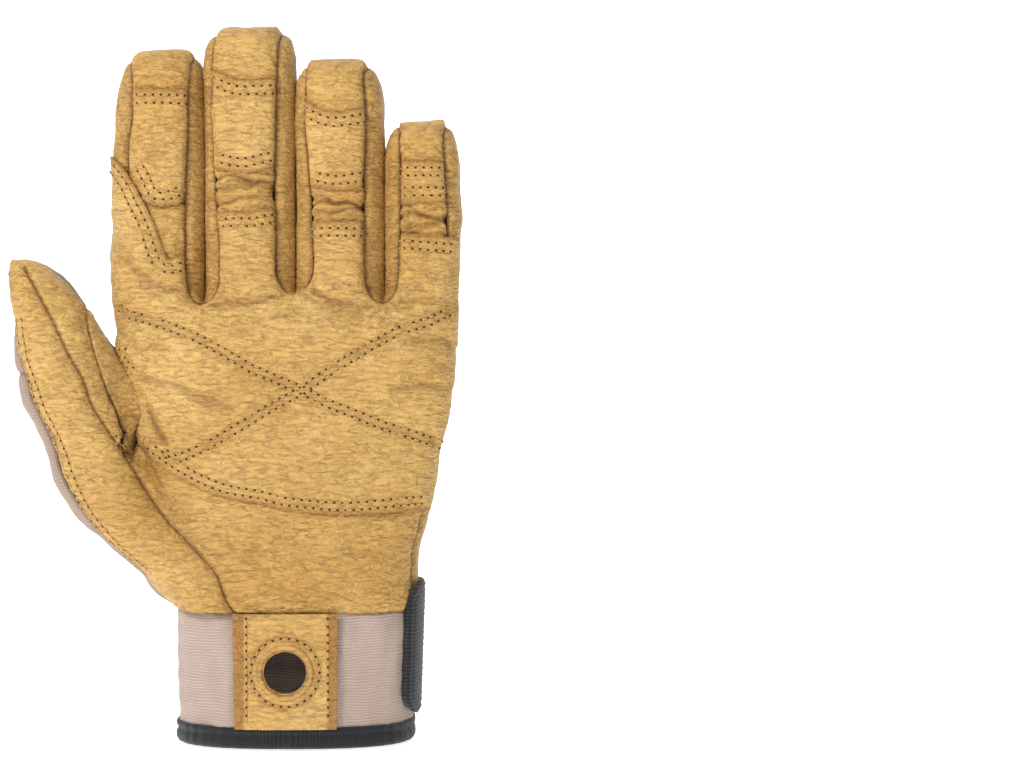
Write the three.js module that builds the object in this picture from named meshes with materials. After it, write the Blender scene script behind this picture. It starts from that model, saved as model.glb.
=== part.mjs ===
// A left-hand climbing glove, palm towards -Y and fingers up +Z, in the form it has when it is worn.
// Millimetres. The origin is the middle of the wrist opening, at the lower rim of the hem.
// Each leather or cloth piece is a wall of its own, cut along seam lines, a small gap from the next.
import * as THREE from "three";

// Walls and seams
const LEATHER = 1.2;
const PATCH_LEATHER = 1.0;
const CLOTH = 1.1;
const SEAM_GAP = 0.34;
const LAP_GAP = 0.5;

// Cuff
const CUFF_WIDTH = 74.2;
const CUFF_DEPTH = 45;
const CUFF_HEIGHT = 34.5;
const CUFF_WALL = 1.8;
const CUFF_TAPER = 1.4;
const CUFF_POWER = 2.5;
const HEM_HEIGHT = 6.4;
const HEM_WALL = 3.2;

// Leather tab and its hole
const TAB_WIDTH = 30.4;
const TAB_THICKNESS = 1.3;
const TAB_LAP = 4;
const TAB_SHIFT = -0.9;
const HOLE_DIAMETER = 12.6;
const HOLE_HEIGHT = 23.2;
const HOLE_RING_WIDTH = 2.2;
const HOLE_RING_THICKNESS = 1.0;

// Hook-and-loop closure round the little-finger side of the cuff
const STRAP_HEIGHT = 40.5;
const STRAP_THICKNESS = 2.2;
const STRAP_RISE = 1.8;
const STRAP_CORNER = 7;
const STRAP_START = 63;
const STRAP_END = 143;
const PAD_THICKNESS = 1.6;
const PAD_END = 195;

// Hand
const PALM_LENGTH = 94;
const PALM_DEPTH = 31;
const PALM_POWER = 3;
const KNUCKLE_SHIFT = -2.7;
const FINGER_GAP = 0.9;
const FINGER_POWER = 2.5;
const EDGE_INSET = 3.6;
const CROTCH_DEPTH = 8;
const CROTCH_ROLL = 3.7;
const BACK_CROTCH_DROP = 9;

// Fingers: length from the crotch line, width, depth, length of the round tip, curl of the tip
// towards the palm, and rise of the crotch on the finger's little-finger side.
const INDEX = { length: 77.3, width: 27.8, depth: 24.5, tip: 9, curl: 5, rise: 0 };
const MIDDLE = { length: 84.7, width: 27.2, depth: 24.5, tip: 9, curl: 6, rise: 2.8 };
const RING = { length: 74.6, width: 26.5, depth: 23.5, tip: 9, curl: 6, rise: 0 };
const LITTLE = { length: 56.4, width: 22.9, depth: 21, tip: 8, curl: 4, rise: 0 };

// Thumb: length above the cuff, width, depth, length of the round tip, how far its outer side
// stands off the cuff's, how far the tip comes forward, and the cloth that shows beside its leather.
const THUMB = { length: 107, width: 30, depth: 26, tip: 11, reach: 49, forward: 13, cloth: 6 };
// Web between thumb and palm: heights above the cuff, half the width of its foot, the height over
// which the palm's border leaves the thumb's seam for the web, and the size of the slope there
const WEB = { bottom: 54, top: 91, notch: 76.4, foot: 0.8, jog: 9, mound: 26, backShare: 0.8 };

const CUFF_TOP = HEM_HEIGHT + CUFF_HEIGHT;
const CROTCH_LINE = CUFF_TOP + PALM_LENGTH;
const HALF_GAP = SEAM_GAP / 2;
const THUMB_VALLEY = 12;
const FINGER_VALLEY = 3;
const SKIRT_SLOPE = 1.5;
const STEEPEST = 6;
const PROBE = 0.2;
const CROTCH_ANGLES = [0, 32, 62, 90];
const TIP_ANGLES = [0, 26, 48];
const STRIP_END = 48;
const TIP_CAP_ANGLES = [68, 90];
const BACK_RIM_SHARE = 0.997;
const EDGE_CROWDING = 1.8;
const FRONT_COLUMNS = 5;
const BACK_COLUMNS = 4;
const STRAIGHT_ROWS = 4;
const PALM_FACE = -1;
const BACK_FACE = 1;
const RADIANS = Math.PI / 180;

const mix = (a, b, t) => a + (b - a) * t;
const clamp = (v, low, high) => Math.min(high, Math.max(low, v));
const ease = (v) => {
  const t = clamp(v, 0, 1);
  return t * t * (3 - 2 * t);
};
const steps = (n) => Array.from({ length: n + 1 }, (_, i) => i / n);
// Round outline of a section: depth left at the share q of its half width
const arch = (q, power) => Math.max(0, 1 - Math.abs(q) ** power) ** (1 / power);

// Smooth curve through a column of a table, that never overshoots the column's values
function smoothCurve(at, value) {
  const slope = at.slice(1).map((a, i) => (value[i + 1] - value[i]) / (a - at[i]));
  const tangent = at.map((_, i) => {
    if (i === 0) return slope[0];
    if (i === at.length - 1) return slope[i - 1];
    const [before, after] = [slope[i - 1], slope[i]];
    return before * after <= 0 ? 0 : (2 * before * after) / (before + after);
  });
  return (a) => {
    if (a <= at[0]) return value[0];
    if (a >= at[at.length - 1]) return value[at.length - 1];
    const i = at.findIndex((edge) => edge > a) - 1;
    const step = at[i + 1] - at[i];
    const t = (a - at[i]) / step;
    return (
      value[i] * (1 + 2 * t) * (1 - t) ** 2 +
      value[i + 1] * t * t * (3 - 2 * t) +
      step * tangent[i] * t * (1 - t) ** 2 +
      step * tangent[i + 1] * t * t * (t - 1)
    );
  };
}

// Table with named columns; the first column is the place along the length
function table(columns, rows) {
  const at = rows.map((row) => row[0]);
  return Object.fromEntries(
    columns.slice(1).map((name, i) => [name, smoothCurve(at, rows.map((row) => row[i + 1]))]),
  );
}

// Fingers: shares of the half width (left, right and the two seams) and of the half depth
const FINGER_COLUMNS = ["at", "left", "right", "seamLeft", "seamRight", "front", "back"];
INDEX.form = table(FINGER_COLUMNS, [
  [0.0, 0.92, 1.0, 0.72, 0.78, 0.98, 1.0],
  [0.17, 0.98, 1.0, 0.74, 0.72, 1.0, 1.0],
  [0.4, 1.0, 1.0, 0.66, 0.7, 0.98, 0.98],
  [0.6, 0.98, 1.0, 0.58, 0.76, 1.0, 0.98],
  [0.75, 0.92, 1.0, 0.47, 0.78, 1.0, 0.96],
  [0.86, 0.8, 0.98, 0.48, 0.8, 1.03, 0.92],
  [0.95, 0.63, 0.92, 0.53, 0.82, 1.0, 0.9],
  [1.0, 0.4, 0.7, 0.39, 0.68, 1.0, 0.9],
]);
MIDDLE.form = table(FINGER_COLUMNS, [
  [0.0, 1.0, 1.0, 0.7, 0.7, 1.0, 1.0],
  [0.2, 1.0, 1.0, 0.68, 0.68, 1.0, 1.0],
  [0.45, 1.0, 1.0, 0.8, 0.66, 0.97, 0.98],
  [0.7, 1.0, 1.0, 0.83, 0.7, 1.0, 0.98],
  [0.85, 0.99, 0.99, 0.8, 0.74, 1.03, 0.94],
  [0.94, 0.88, 0.92, 0.76, 0.76, 1.0, 0.9],
  [1.0, 0.57, 0.6, 0.56, 0.59, 1.0, 0.9],
]);
RING.form = table(FINGER_COLUMNS, [
  [0.0, 1.0, 1.0, 0.66, 0.68, 1.0, 1.0],
  [0.2, 1.0, 1.0, 0.63, 0.63, 1.0, 1.0],
  [0.5, 1.0, 1.0, 0.72, 0.65, 0.97, 0.98],
  [0.75, 1.0, 1.0, 0.79, 0.68, 1.0, 0.98],
  [0.88, 0.96, 0.94, 0.77, 0.66, 1.03, 0.92],
  [0.96, 0.84, 0.78, 0.74, 0.64, 1.0, 0.9],
  [1.0, 0.66, 0.54, 0.65, 0.53, 1.0, 0.9],
]);
LITTLE.form = table(FINGER_COLUMNS, [
  [0.0, 1.0, 0.94, 0.7, 0.8, 0.98, 1.0],
  [0.25, 1.0, 1.0, 0.66, 0.76, 1.0, 1.0],
  [0.5, 1.0, 1.0, 0.62, 0.7, 0.97, 0.98],
  [0.75, 1.0, 0.97, 0.64, 0.66, 1.0, 0.96],
  [0.9, 0.88, 0.84, 0.67, 0.64, 1.02, 0.92],
  [1.0, 0.62, 0.54, 0.61, 0.53, 1.0, 0.9],
]);
// Thumb: outer edge as a share of the reach, width, lean and depth as shares of theirs, its long
// front seam as a share of the half width, and the cloth beside the leather as a share of its width
THUMB.form = table(["at", "out", "width", "lean", "depth", "seam", "cloth"], [
  [0.0, 0.0, 1.15, 0.0, 1.5, 0.2, 0.2],
  [0.04, 0.12, 1.17, 0.0, 1.5, 0.36, 0.25],
  [0.11, 0.25, 1.18, 0.06, 1.46, 0.54, 0.35],
  [0.19, 0.46, 1.18, 0.14, 1.42, 0.7, 0.6],
  [0.29, 0.68, 1.16, 0.26, 1.34, 0.76, 1.0],
  [0.38, 0.77, 1.12, 0.38, 1.26, 0.72, 1.0],
  [0.48, 0.84, 1.08, 0.5, 1.18, 0.62, 0.95],
  [0.6, 0.95, 1.12, 0.66, 1.1, 0.42, 0.85],
  [0.66, 0.965, 1.08, 0.73, 1.06, 0.38, 0.6],
  [0.72, 0.98, 1.0, 0.8, 1.02, 0.3, 0.35],
  [0.75, 0.98, 0.94, 0.83, 1.0, 0.28, 0.25],
  [0.82, 0.975, 0.8, 0.9, 0.94, 0.2, 0.1],
  [0.91, 0.99, 0.64, 0.97, 0.84, 0.02, 0.08],
  [0.96, 1.0, 0.47, 1.0, 0.76, 0.0, 0.08],
  [0.985, 0.995, 0.34, 1.01, 0.72, 0.0, 0.08],
  [1.0, 0.99, 0.18, 1.02, 0.7, 0.0, 0.08],
]);
// Palm: how far each side has spread from the cuff's to the knuckles', how far the depth has gone
// from the cuff's to the palm's, and shares of that depth, which fade out between the fingers
const PALM_FORM = table(["at", "left", "right", "flatten", "front", "back"], [
  [0.0, 0.0, 0.0, 0.0, 1.0, 1.0],
  [0.08, 0.04, -0.03, 0.12, 1.0, 1.0],
  [0.18, 0.13, 0.01, 0.34, 1.0, 1.0],
  [0.27, 0.19, 0.2, 0.52, 1.0, 1.0],
  [0.37, 0.4, 0.4, 0.72, 0.98, 1.0],
  [0.52, 0.64, 0.57, 0.95, 0.94, 1.0],
  [0.62, 0.78, 0.73, 1.0, 0.92, 1.0],
  [0.73, 0.88, 0.83, 1.0, 0.95, 1.0],
  [0.82, 0.9, 0.9, 1.0, 1.0, 1.0],
  [0.9, 0.9, 0.92, 1.0, 0.98, 0.9],
  [1.0, 0.9, 0.9, 1.0, 0.8, 0.6],
  [1.06, 0.9, 0.92, 1.0, 0.5, 0.3],
  [1.12, 0.9, 0.92, 1.0, 0.0, 0.0],
]);
// Palm patch: its lower edge across the palm, as a share of the palm's length above the cuff
const PALM_PATCH_EDGE = table(["across", "height"], [
  [0.0, 0.568],
  [0.053, 0.494],
  [0.118, 0.434],
  [0.196, 0.387],
  [0.267, 0.362],
  [0.372, 0.345],
  [0.48, 0.322],
  [0.707, 0.307],
  [0.918, 0.319],
  [1.0, 0.324],
]);
// Edges of the patches across each finger, as shares of the finger's length: the top of the palm
// patch, and the lower and upper edges of the patch on the finger
const PATCH_COLUMNS = ["across", "stub", "lower", "upper"];
INDEX.patch = table(PATCH_COLUMNS, [
  [0.0, 0.58, 0.54, 0.833],
  [0.17, 0.527, 0.48, 0.833],
  [0.3, 0.475, 0.42, 0.833],
  [0.4, 0.42, 0.392, 0.833],
  [0.56, 0.325, 0.375, 0.833],
  [0.77, 0.17, 0.378, 0.833],
  [1.0, 0.19, 0.398, 0.833],
]);
MIDDLE.patch = table(PATCH_COLUMNS, [
  [0.0, 0.322, 0.48, 0.836],
  [0.5, 0.322, 0.46, 0.791],
  [1.0, 0.34, 0.484, 0.797],
]);
RING.patch = table(PATCH_COLUMNS, [
  [0.0, 0.327, 0.472, 0.824],
  [0.5, 0.327, 0.452, 0.77],
  [1.0, 0.327, 0.468, 0.79],
]);
LITTLE.patch = table(PATCH_COLUMNS, [
  [0.0, 0.37, 0.537, 0.759],
  [1.0, 0.35, 0.537, 0.759],
]);

// Fingers side by side across the knuckles, and the crotches between them
const FINGERS = [INDEX, MIDDLE, RING, LITTLE];
const KNUCKLE_WIDTH = FINGERS.reduce((sum, finger) => sum + finger.width, 3 * FINGER_GAP);
const KNUCKLE_LEFT = KNUCKLE_SHIFT - KNUCKLE_WIDTH / 2;
const KNUCKLE_RIGHT = KNUCKLE_SHIFT + KNUCKLE_WIDTH / 2;
FINGERS.reduce((left, finger) => {
  finger.x = left + finger.width / 2;
  finger.top = CROTCH_LINE + finger.length;
  return left + finger.width + FINGER_GAP;
}, KNUCKLE_LEFT);
FINGERS.forEach((finger, i) => {
  const next = FINGERS[i + 1];
  finger.crotch = {
    [-1]: i > 0 ? FINGERS[i - 1].crotch[1] : null,
    1: next ? { x: finger.x + (finger.width + FINGER_GAP) / 2, z: CROTCH_LINE + finger.rise } : null,
  };
});
THUMB.top = CUFF_TOP + THUMB.length;

// Depth left in a round tip at height z
const tipRound = (digit, z) => {
  const over = clamp((z - (digit.top - digit.tip)) / digit.tip, 0, 1);
  return Math.sqrt(1 - over * over);
};

// Sections at height z: the two edges in x, the middle plane in y, and the depth on each side of it
function fingerSection(finger, z) {
  const at = (z - CROTCH_LINE) / finger.length;
  const half = finger.width / 2;
  const depth = (finger.depth / 2) * tipRound(finger, z);
  return {
    left: finger.x - half * finger.form.left(at),
    right: finger.x + half * finger.form.right(at),
    plane: -finger.curl * Math.max(0, at) ** 2,
    front: depth * finger.form.front(at),
    back: depth * finger.form.back(at),
    power: FINGER_POWER,
  };
}

function thumbSection(z) {
  const at = (z - CUFF_TOP) / THUMB.length;
  const left = -CUFF_WIDTH / 2 - THUMB.reach * THUMB.form.out(at);
  const forward = THUMB.forward * THUMB.form.lean(at);
  const free = ease((at - 0.6) / 0.3);
  const depth = (THUMB.depth / 2) * THUMB.form.depth(at) * tipRound(THUMB, z);
  return {
    left,
    right: left + THUMB.width * THUMB.form.width(at),
    plane: -forward * free,
    front: depth + forward * (1 - free),
    back: depth - forward * (1 - free),
    power: 2.2,
  };
}

function palmSection(z) {
  const at = (z - CUFF_TOP) / PALM_LENGTH;
  const half = mix(CUFF_DEPTH, PALM_DEPTH, PALM_FORM.flatten(at)) / 2;
  return {
    left: mix(-CUFF_WIDTH / 2, KNUCKLE_LEFT, PALM_FORM.left(at)),
    right: mix(CUFF_WIDTH / 2, KNUCKLE_RIGHT, PALM_FORM.right(at)),
    plane: 0,
    front: half * PALM_FORM.front(at),
    back: half * PALM_FORM.back(at),
    power: mix(CUFF_POWER, PALM_POWER, PALM_FORM.flatten(at)),
  };
}

// Sections that the height z cuts: of the thumb, of the rest of the hand, or of both
const BOTH = "both";
const ONLY_THUMB = "thumb";
const ONLY_HAND = "hand";
const PALM_SIDE = "palm";
function sectionsAt(z, which = BOTH) {
  const found = [];
  if (which !== ONLY_HAND && z > CUFF_TOP && z <= THUMB.top) found.push(thumbSection(z));
  if (which === ONLY_THUMB) return found;
  if (z < CROTCH_LINE + 0.12 * PALM_LENGTH) found.push(palmSection(z));
  for (const finger of FINGERS) {
    if (z > CROTCH_LINE - 0.25 * finger.length && z <= finger.top) found.push(fingerSection(finger, z));
  }
  return found;
}

// A finger's section fades into the palm below the crotch line
const fade = (z) => ease((z - (CROTCH_LINE - 22)) / 26);

// Distance of the skin from the hand's middle plane: face -1 is the palm side, face 1 the back
function skinY(x, z, face, which = BOTH) {
  if (which === PALM_SIDE) {
    return mix(skinY(x, z, face, BOTH), skinY(x, z, face, ONLY_HAND), handShare(x, z));
  }
  let height = -Infinity;
  let nearest = Infinity;
  let plane = 0;
  for (const s of sectionsAt(z, which)) {
    const q = (x - (s.left + s.right) / 2) / ((s.right - s.left) / 2);
    if (Math.abs(q) < nearest) {
      nearest = Math.abs(q);
      plane = face * s.plane;
    }
    const isFinger = s.power === FINGER_POWER && z > CUFF_TOP + 0.5 * PALM_LENGTH;
    const depth = (face < 0 ? s.front : s.back) * (isFinger ? fade(z) : 1);
    const skirt = SKIRT_SLOPE * Math.max(0, Math.abs(q) - 1) * ((s.right - s.left) / 2);
    const h = face * s.plane + depth * arch(q, s.power) - skirt;
    const soft = isFinger ? FINGER_VALLEY : THUMB_VALLEY;
    const near = clamp(0.5 + (h - height) / (2 * soft), 0, 1);
    height = height === -Infinity ? h : mix(height, h, near) + soft * near * (1 - near);
  }
  return face * (nearest < 1 ? height : plane);
}

// A knot of a wall: the point on the skin and the unit vector into the glove
function skinKnot(x, z, face, which = BOTH) {
  const y = (a, b) => skinY(a, b, face, which);
  const dx = (y(x + PROBE, z) - y(x - PROBE, z)) / (2 * PROBE);
  const dz = (y(x, z + PROBE) - y(x, z - PROBE)) / (2 * PROBE);
  const slopeX = clamp(dx, -STEEPEST, STEEPEST);
  const slopeZ = clamp(dz, -STEEPEST, STEEPEST);
  return {
    point: new THREE.Vector3(x, y(x, z), z),
    inward: new THREE.Vector3(face * slopeX, -face, face * slopeZ).normalize(),
  };
}

// A knot on the outline seen from the front; side -1 is the thumb side
function edgeKnot(x, z, side, which = BOTH) {
  const inside = x - side * 0.05;
  const y = (skinY(inside, z, -1, which) + skinY(inside, z, 1, which)) / 2;
  return { point: new THREE.Vector3(x, y, z), inward: new THREE.Vector3(-side, 0, 0) };
}

const tipKnot = (x, digit, section) => ({
  point: new THREE.Vector3(x, section.plane, digit.top),
  inward: new THREE.Vector3(0, 0, -1),
});

// Outline of the hand without the thumb, and the seams on its two outer sides
const edgeX = (z, side) => {
  const ends = sectionsAt(z, ONLY_HAND).map((s) => (side < 0 ? s.left : s.right));
  return side < 0 ? Math.min(...ends) : Math.max(...ends);
};
function outerSeamX(side, z, face) {
  const finger = side < 0 ? INDEX : LITTLE;
  const at = (z - CROTCH_LINE) / finger.length;
  const share = side < 0 ? finger.form.seamLeft(at) : finger.form.seamRight(at);
  const onFinger = finger.x + (side * share * finger.width) / 2;
  const inset = side > 0 && face < 0 ? EDGE_INSET * 0.25 : EDGE_INSET;
  return mix(edgeX(z, side) - side * inset, onFinger, ease((z - CROTCH_LINE + 2) / 25));
}

// Rows of a finger: the round of the crotch, the straight part, the round tip, and the cap over it
function fingerRows(finger, straight) {
  const low = CROTCH_LINE + CROTCH_DEPTH + 6;
  const high = finger.top - finger.tip;
  const round = (angle) => high + finger.tip * Math.sin(angle * RADIANS);
  return {
    crotch: CROTCH_ANGLES.map((angle) => ({ angle })),
    straight: steps(straight).slice(0, -1).map((t) => ({ z: mix(low, high, t) })),
    tip: TIP_ANGLES.map((angle) => ({ z: round(angle) })),
    cap: [
      { z: round(STRIP_END) + 2 * SEAM_GAP, closed: true },
      ...TIP_CAP_ANGLES.map((angle) => ({ z: round(angle), closed: true, ridge: angle === 90 })),
    ],
  };
}

// Point on a finger's seam. The pad is positive away from the strip beside the finger.
function seamPoint(finger, side, row, pad, face) {
  const share = (z) => {
    const at = (z - CROTCH_LINE) / finger.length;
    return side < 0 ? finger.form.seamLeft(at) : finger.form.seamRight(at);
  };
  const onFinger = (z) => finger.x + (side * share(z) * finger.width) / 2;
  const drop = face > 0 ? BACK_CROTCH_DROP : 0;
  const crotch = finger.crotch[side];
  if (row.closed) {
    const s = fingerSection(finger, row.z);
    const middle = (s.left + s.right) / 2;
    const rim = face > 0 ? BACK_RIM_SHARE : 1;
    return { x: middle + (side * rim * (s.right - s.left)) / 2, z: row.z };
  }
  if (row.angle === undefined) {
    const x = crotch ? onFinger(row.z) : outerSeamX(side, row.z, face);
    return { x: x - side * pad, z: row.z };
  }
  const sin = Math.sin(row.angle * RADIANS);
  const cos = Math.cos(row.angle * RADIANS);
  if (!crotch) {
    const z = CROTCH_LINE - drop + CROTCH_DEPTH * (1 - cos) - pad * cos;
    return { x: outerSeamX(side, z, face) - side * pad, z };
  }
  const half = Math.abs(crotch.x - onFinger(crotch.z + CROTCH_DEPTH));
  const across = pad > 0 ? Math.max(pad, (half + pad) * sin) : (half + pad) * sin;
  return { x: crotch.x - side * across, z: crotch.z - drop + CROTCH_DEPTH - (CROTCH_DEPTH + pad) * cos };
}

// Wall between two depths under the knots of one or more grids that share their border knots
function wall(grids, near, far) {
  const knots = [];
  const found = new Map();
  const numberOf = (knot) => {
    const key = knot.point.toArray().map((v) => Math.round(v * 1e3)).join();
    if (!found.has(key)) {
      found.set(key, knots.length);
      knots.push(knot);
    }
    return found.get(key);
  };
  const faces = [];
  const addFace = (a, b, c) => {
    if (a !== b && b !== c && c !== a) faces.push([a, b, c]);
  };
  for (const grid of grids) {
    for (let i = 0; i + 1 < grid.length; i++) {
      for (let j = 0; j + 1 < grid[i].length; j++) {
        const [a, b] = [numberOf(grid[i][j]), numberOf(grid[i][j + 1])];
        const [d, c] = [numberOf(grid[i + 1][j]), numberOf(grid[i + 1][j + 1])];
        addFace(a, b, c);
        addFace(a, c, d);
      }
    }
  }
  const directed = new Set(faces.flatMap(([a, b, c]) => [`${a},${b}`, `${b},${c}`, `${c},${a}`]));
  const count = knots.length;
  const triangles = [...faces, ...faces.map(([a, b, c]) => [a + count, c + count, b + count])];
  for (const [a, b, c] of faces) {
    for (const [u, v] of [[a, b], [b, c], [c, a]]) {
      if (!directed.has(`${v},${u}`)) triangles.push([v, u, u + count], [v, u + count, v + count]);
    }
  }
  const positions = [near, far].flatMap((depth) =>
    knots.map((knot) => knot.point.clone().addScaledVector(knot.inward, depth)),
  );
  return solid(positions, triangles);
}

// The same grid, counted from its last corner
function fromTip(grid) {
  return grid.map((row) => [...row].reverse()).reverse();
}

// Closed geometry from its corners and triangles, turned so that its faces point out
function solid(positions, triangles) {
  const volume = triangles.reduce(
    (sum, [a, b, c]) => sum + positions[a].dot(positions[b].clone().cross(positions[c])),
    0,
  );
  const outward = volume > 0 ? triangles : triangles.map(([a, b, c]) => [a, c, b]);
  const geometry = new THREE.BufferGeometry();
  const places = positions.flatMap((p) => p.toArray());
  geometry.setAttribute("position", new THREE.Float32BufferAttribute(places, 3));
  geometry.setIndex(outward.flat());
  geometry.computeVertexNormals();
  return geometry;
}

// Front or back of one finger, between its two seams
function fingerPanel(finger, face, columns, straight) {
  const rows = fingerRows(finger, straight);
  const all = [...rows.crotch, ...rows.straight, ...rows.tip, ...rows.cap];
  return all.map((row) => {
    const left = seamPoint(finger, -1, row, HALF_GAP, face);
    const right = seamPoint(finger, 1, row, HALF_GAP, face);
    const across = row.closed || face > 0 ? steps(columns) : fingerShares(finger, columns);
    return across.map((t) => {
      const x = mix(left.x, right.x, t);
      const z = mix(left.z, right.z, t);
      if (!row.ridge) return skinKnot(x, z, face);
      const knot = tipKnot(x, finger, fingerSection(finger, z));
      if (face > 0) knot.point.y += SEAM_GAP;
      return knot;
    });
  });
}

// Levels of the knuckles, where the fingers' panels start, across the hand from 0 to 1
function knuckleLevel(across, left, right, face) {
  const drop = face > 0 ? BACK_CROTCH_DROP : 0;
  const marks = [
    { at: 0, z: CROTCH_LINE },
    ...FINGERS.slice(0, -1).map((finger) => ({
      at: (finger.crotch[1].x - left) / (right - left),
      z: finger.crotch[1].z,
    })),
    { at: 1, z: CROTCH_LINE },
  ];
  const i = Math.max(1, marks.findIndex((mark) => mark.at >= across - 1e-9));
  const t = (across - marks[i - 1].at) / (marks[i].at - marks[i - 1].at);
  return mix(marks[i - 1].z, marks[i].z, t) - drop;
}

// Shares across a finger's width at which its columns run, closer towards an outer edge of the hand
function fingerShares(finger, count) {
  if (finger === INDEX) return steps(count).map((t) => t ** EDGE_CROWDING);
  if (finger === LITTLE) return steps(count).map((t) => 1 - (1 - t) ** EDGE_CROWDING);
  return steps(count);
}

// The same shares across the whole hand
function handShares(left, right, perFinger) {
  const marks = [0, ...FINGERS.slice(0, -1).map((f) => (f.crotch[1].x - left) / (right - left)), 1];
  const inner = FINGERS.flatMap((finger, i) =>
    fingerShares(finger, perFinger).slice(1).map((t) => mix(marks[i], marks[i + 1], t)),
  );
  return [0, ...inner];
}

// Line of the web's seams: across 0 is the thumb's side and 1 the palm's, up runs from 0 to 1
function webPoint(across, up) {
  const foot = { x: -CUFF_WIDTH / 2 - 0.243 * THUMB.reach, z: CUFF_TOP + WEB.bottom };
  const z = foot.z + up * (mix(WEB.top, WEB.notch, across) - WEB.bottom);
  const topZ = CUFF_TOP + mix(WEB.top, WEB.notch, across);
  const bow = 4 * up * (1 - up) * mix(-0.9, 4.6, across);
  const x = mix(foot.x + WEB.foot * (2 * across - 1), thumbSection(topZ).right, up) + bow;
  return { x, z };
}
const webX = (across, z) => {
  const top = CUFF_TOP + mix(WEB.top, WEB.notch, across);
  return webPoint(across, clamp((z - CUFF_TOP - WEB.bottom) / (top - CUFF_TOP - WEB.bottom), 0, 1)).x;
};

// Thumb's long front seam, and the front edge of its leather beside the cloth
const thumbSeamX = (z) => {
  const s = thumbSection(z);
  return mix((s.left + s.right) / 2, s.right, THUMB.form.seam((z - CUFF_TOP) / THUMB.length));
};
const thumbLeatherX = (z) =>
  thumbSection(z).left + THUMB.cloth * THUMB.form.cloth((z - CUFF_TOP) / THUMB.length);

const NOTCH_BLEND = 4.5;
const WEB_CORNER = 3;
// Left border of the palm: the thumb's long seam, then the web, then the outer seam of the hand
function palmLeftX(z) {
  if (z < WEB_FOOT) {
    return mix(thumbSeamX(z), webX(1, WEB_FOOT), clamp(1 - (WEB_FOOT - z) / WEB.jog, 0, 1));
  }
  if (z < CUFF_TOP + WEB.notch) return webX(1, z);
  const blend = clamp((z - CUFF_TOP - WEB.notch) / NOTCH_BLEND, 0, 1);
  return mix(webX(1, z), outerSeamX(-1, z, -1), blend);
}

// Heights of the rows along the thumb's long seam, up to the web's foot
const WEB_FOOT = CUFF_TOP + WEB.bottom;
const SEAM_HEIGHTS = [
  ...steps(5).map((t) => mix(CUFF_TOP + HALF_GAP, WEB_FOOT - WEB.jog, t)),
  WEB_FOOT - WEB.jog / 2,
];

// Share by which the palm's leather has come down from the thumb's mound to the hand
function handShare(x, z) {
  if (z >= WEB_FOOT) return 1;
  const rising = ease((z - WEB_FOOT + WEB.mound) / WEB.mound);
  const beside = ease((x - thumbSeamX(z)) / WEB.mound);
  return rising * mix(beside, 1, clamp(1 - (WEB_FOOT - z) / WEB.jog, 0, 1));
}

// Base leather of the palm, with as many columns to a finger as the patch over it
const PALM_COLUMNS = 5;
const PATCH_INSET = 0.9;
const VALLEY_LIFT = 1.0;
const PATCH_ROWS = [0, 0.16, 0.32, 0.46, 0.57, 0.7, 0.85, 1];
const patchEdgeZ = (across) => CUFF_TOP + PALM_LENGTH * PALM_PATCH_EDGE.height(across);
function palmPanel() {
  const ends = [-1, 1].map((side) => outerSeamX(side, CROTCH_LINE, -1));
  const shares = handShares(ends[0], ends[1], PALM_COLUMNS);
  const level = (across) => knuckleLevel(across, ends[0], ends[1], -1) - SEAM_GAP - HALF_GAP;
  const row = (heightAt) =>
    shares.map((across) => {
      const z = heightAt(across);
      const x = mix(palmLeftX(z) + HALF_GAP, outerSeamX(1, z, -1) - HALF_GAP, across);
      return skinKnot(x, z, -1, PALM_SIDE);
    });
  const low = SEAM_HEIGHTS[0];
  const bare = SEAM_HEIGHTS.map((height) => (height - low) / (WEB_FOOT - low));
  return [
    ...bare.map((t) => row((across) => mix(low, patchEdgeZ(across), t))),
    ...PATCH_ROWS.map((t) => row((across) => mix(patchEdgeZ(across), level(across), t))),
  ];
}

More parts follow.
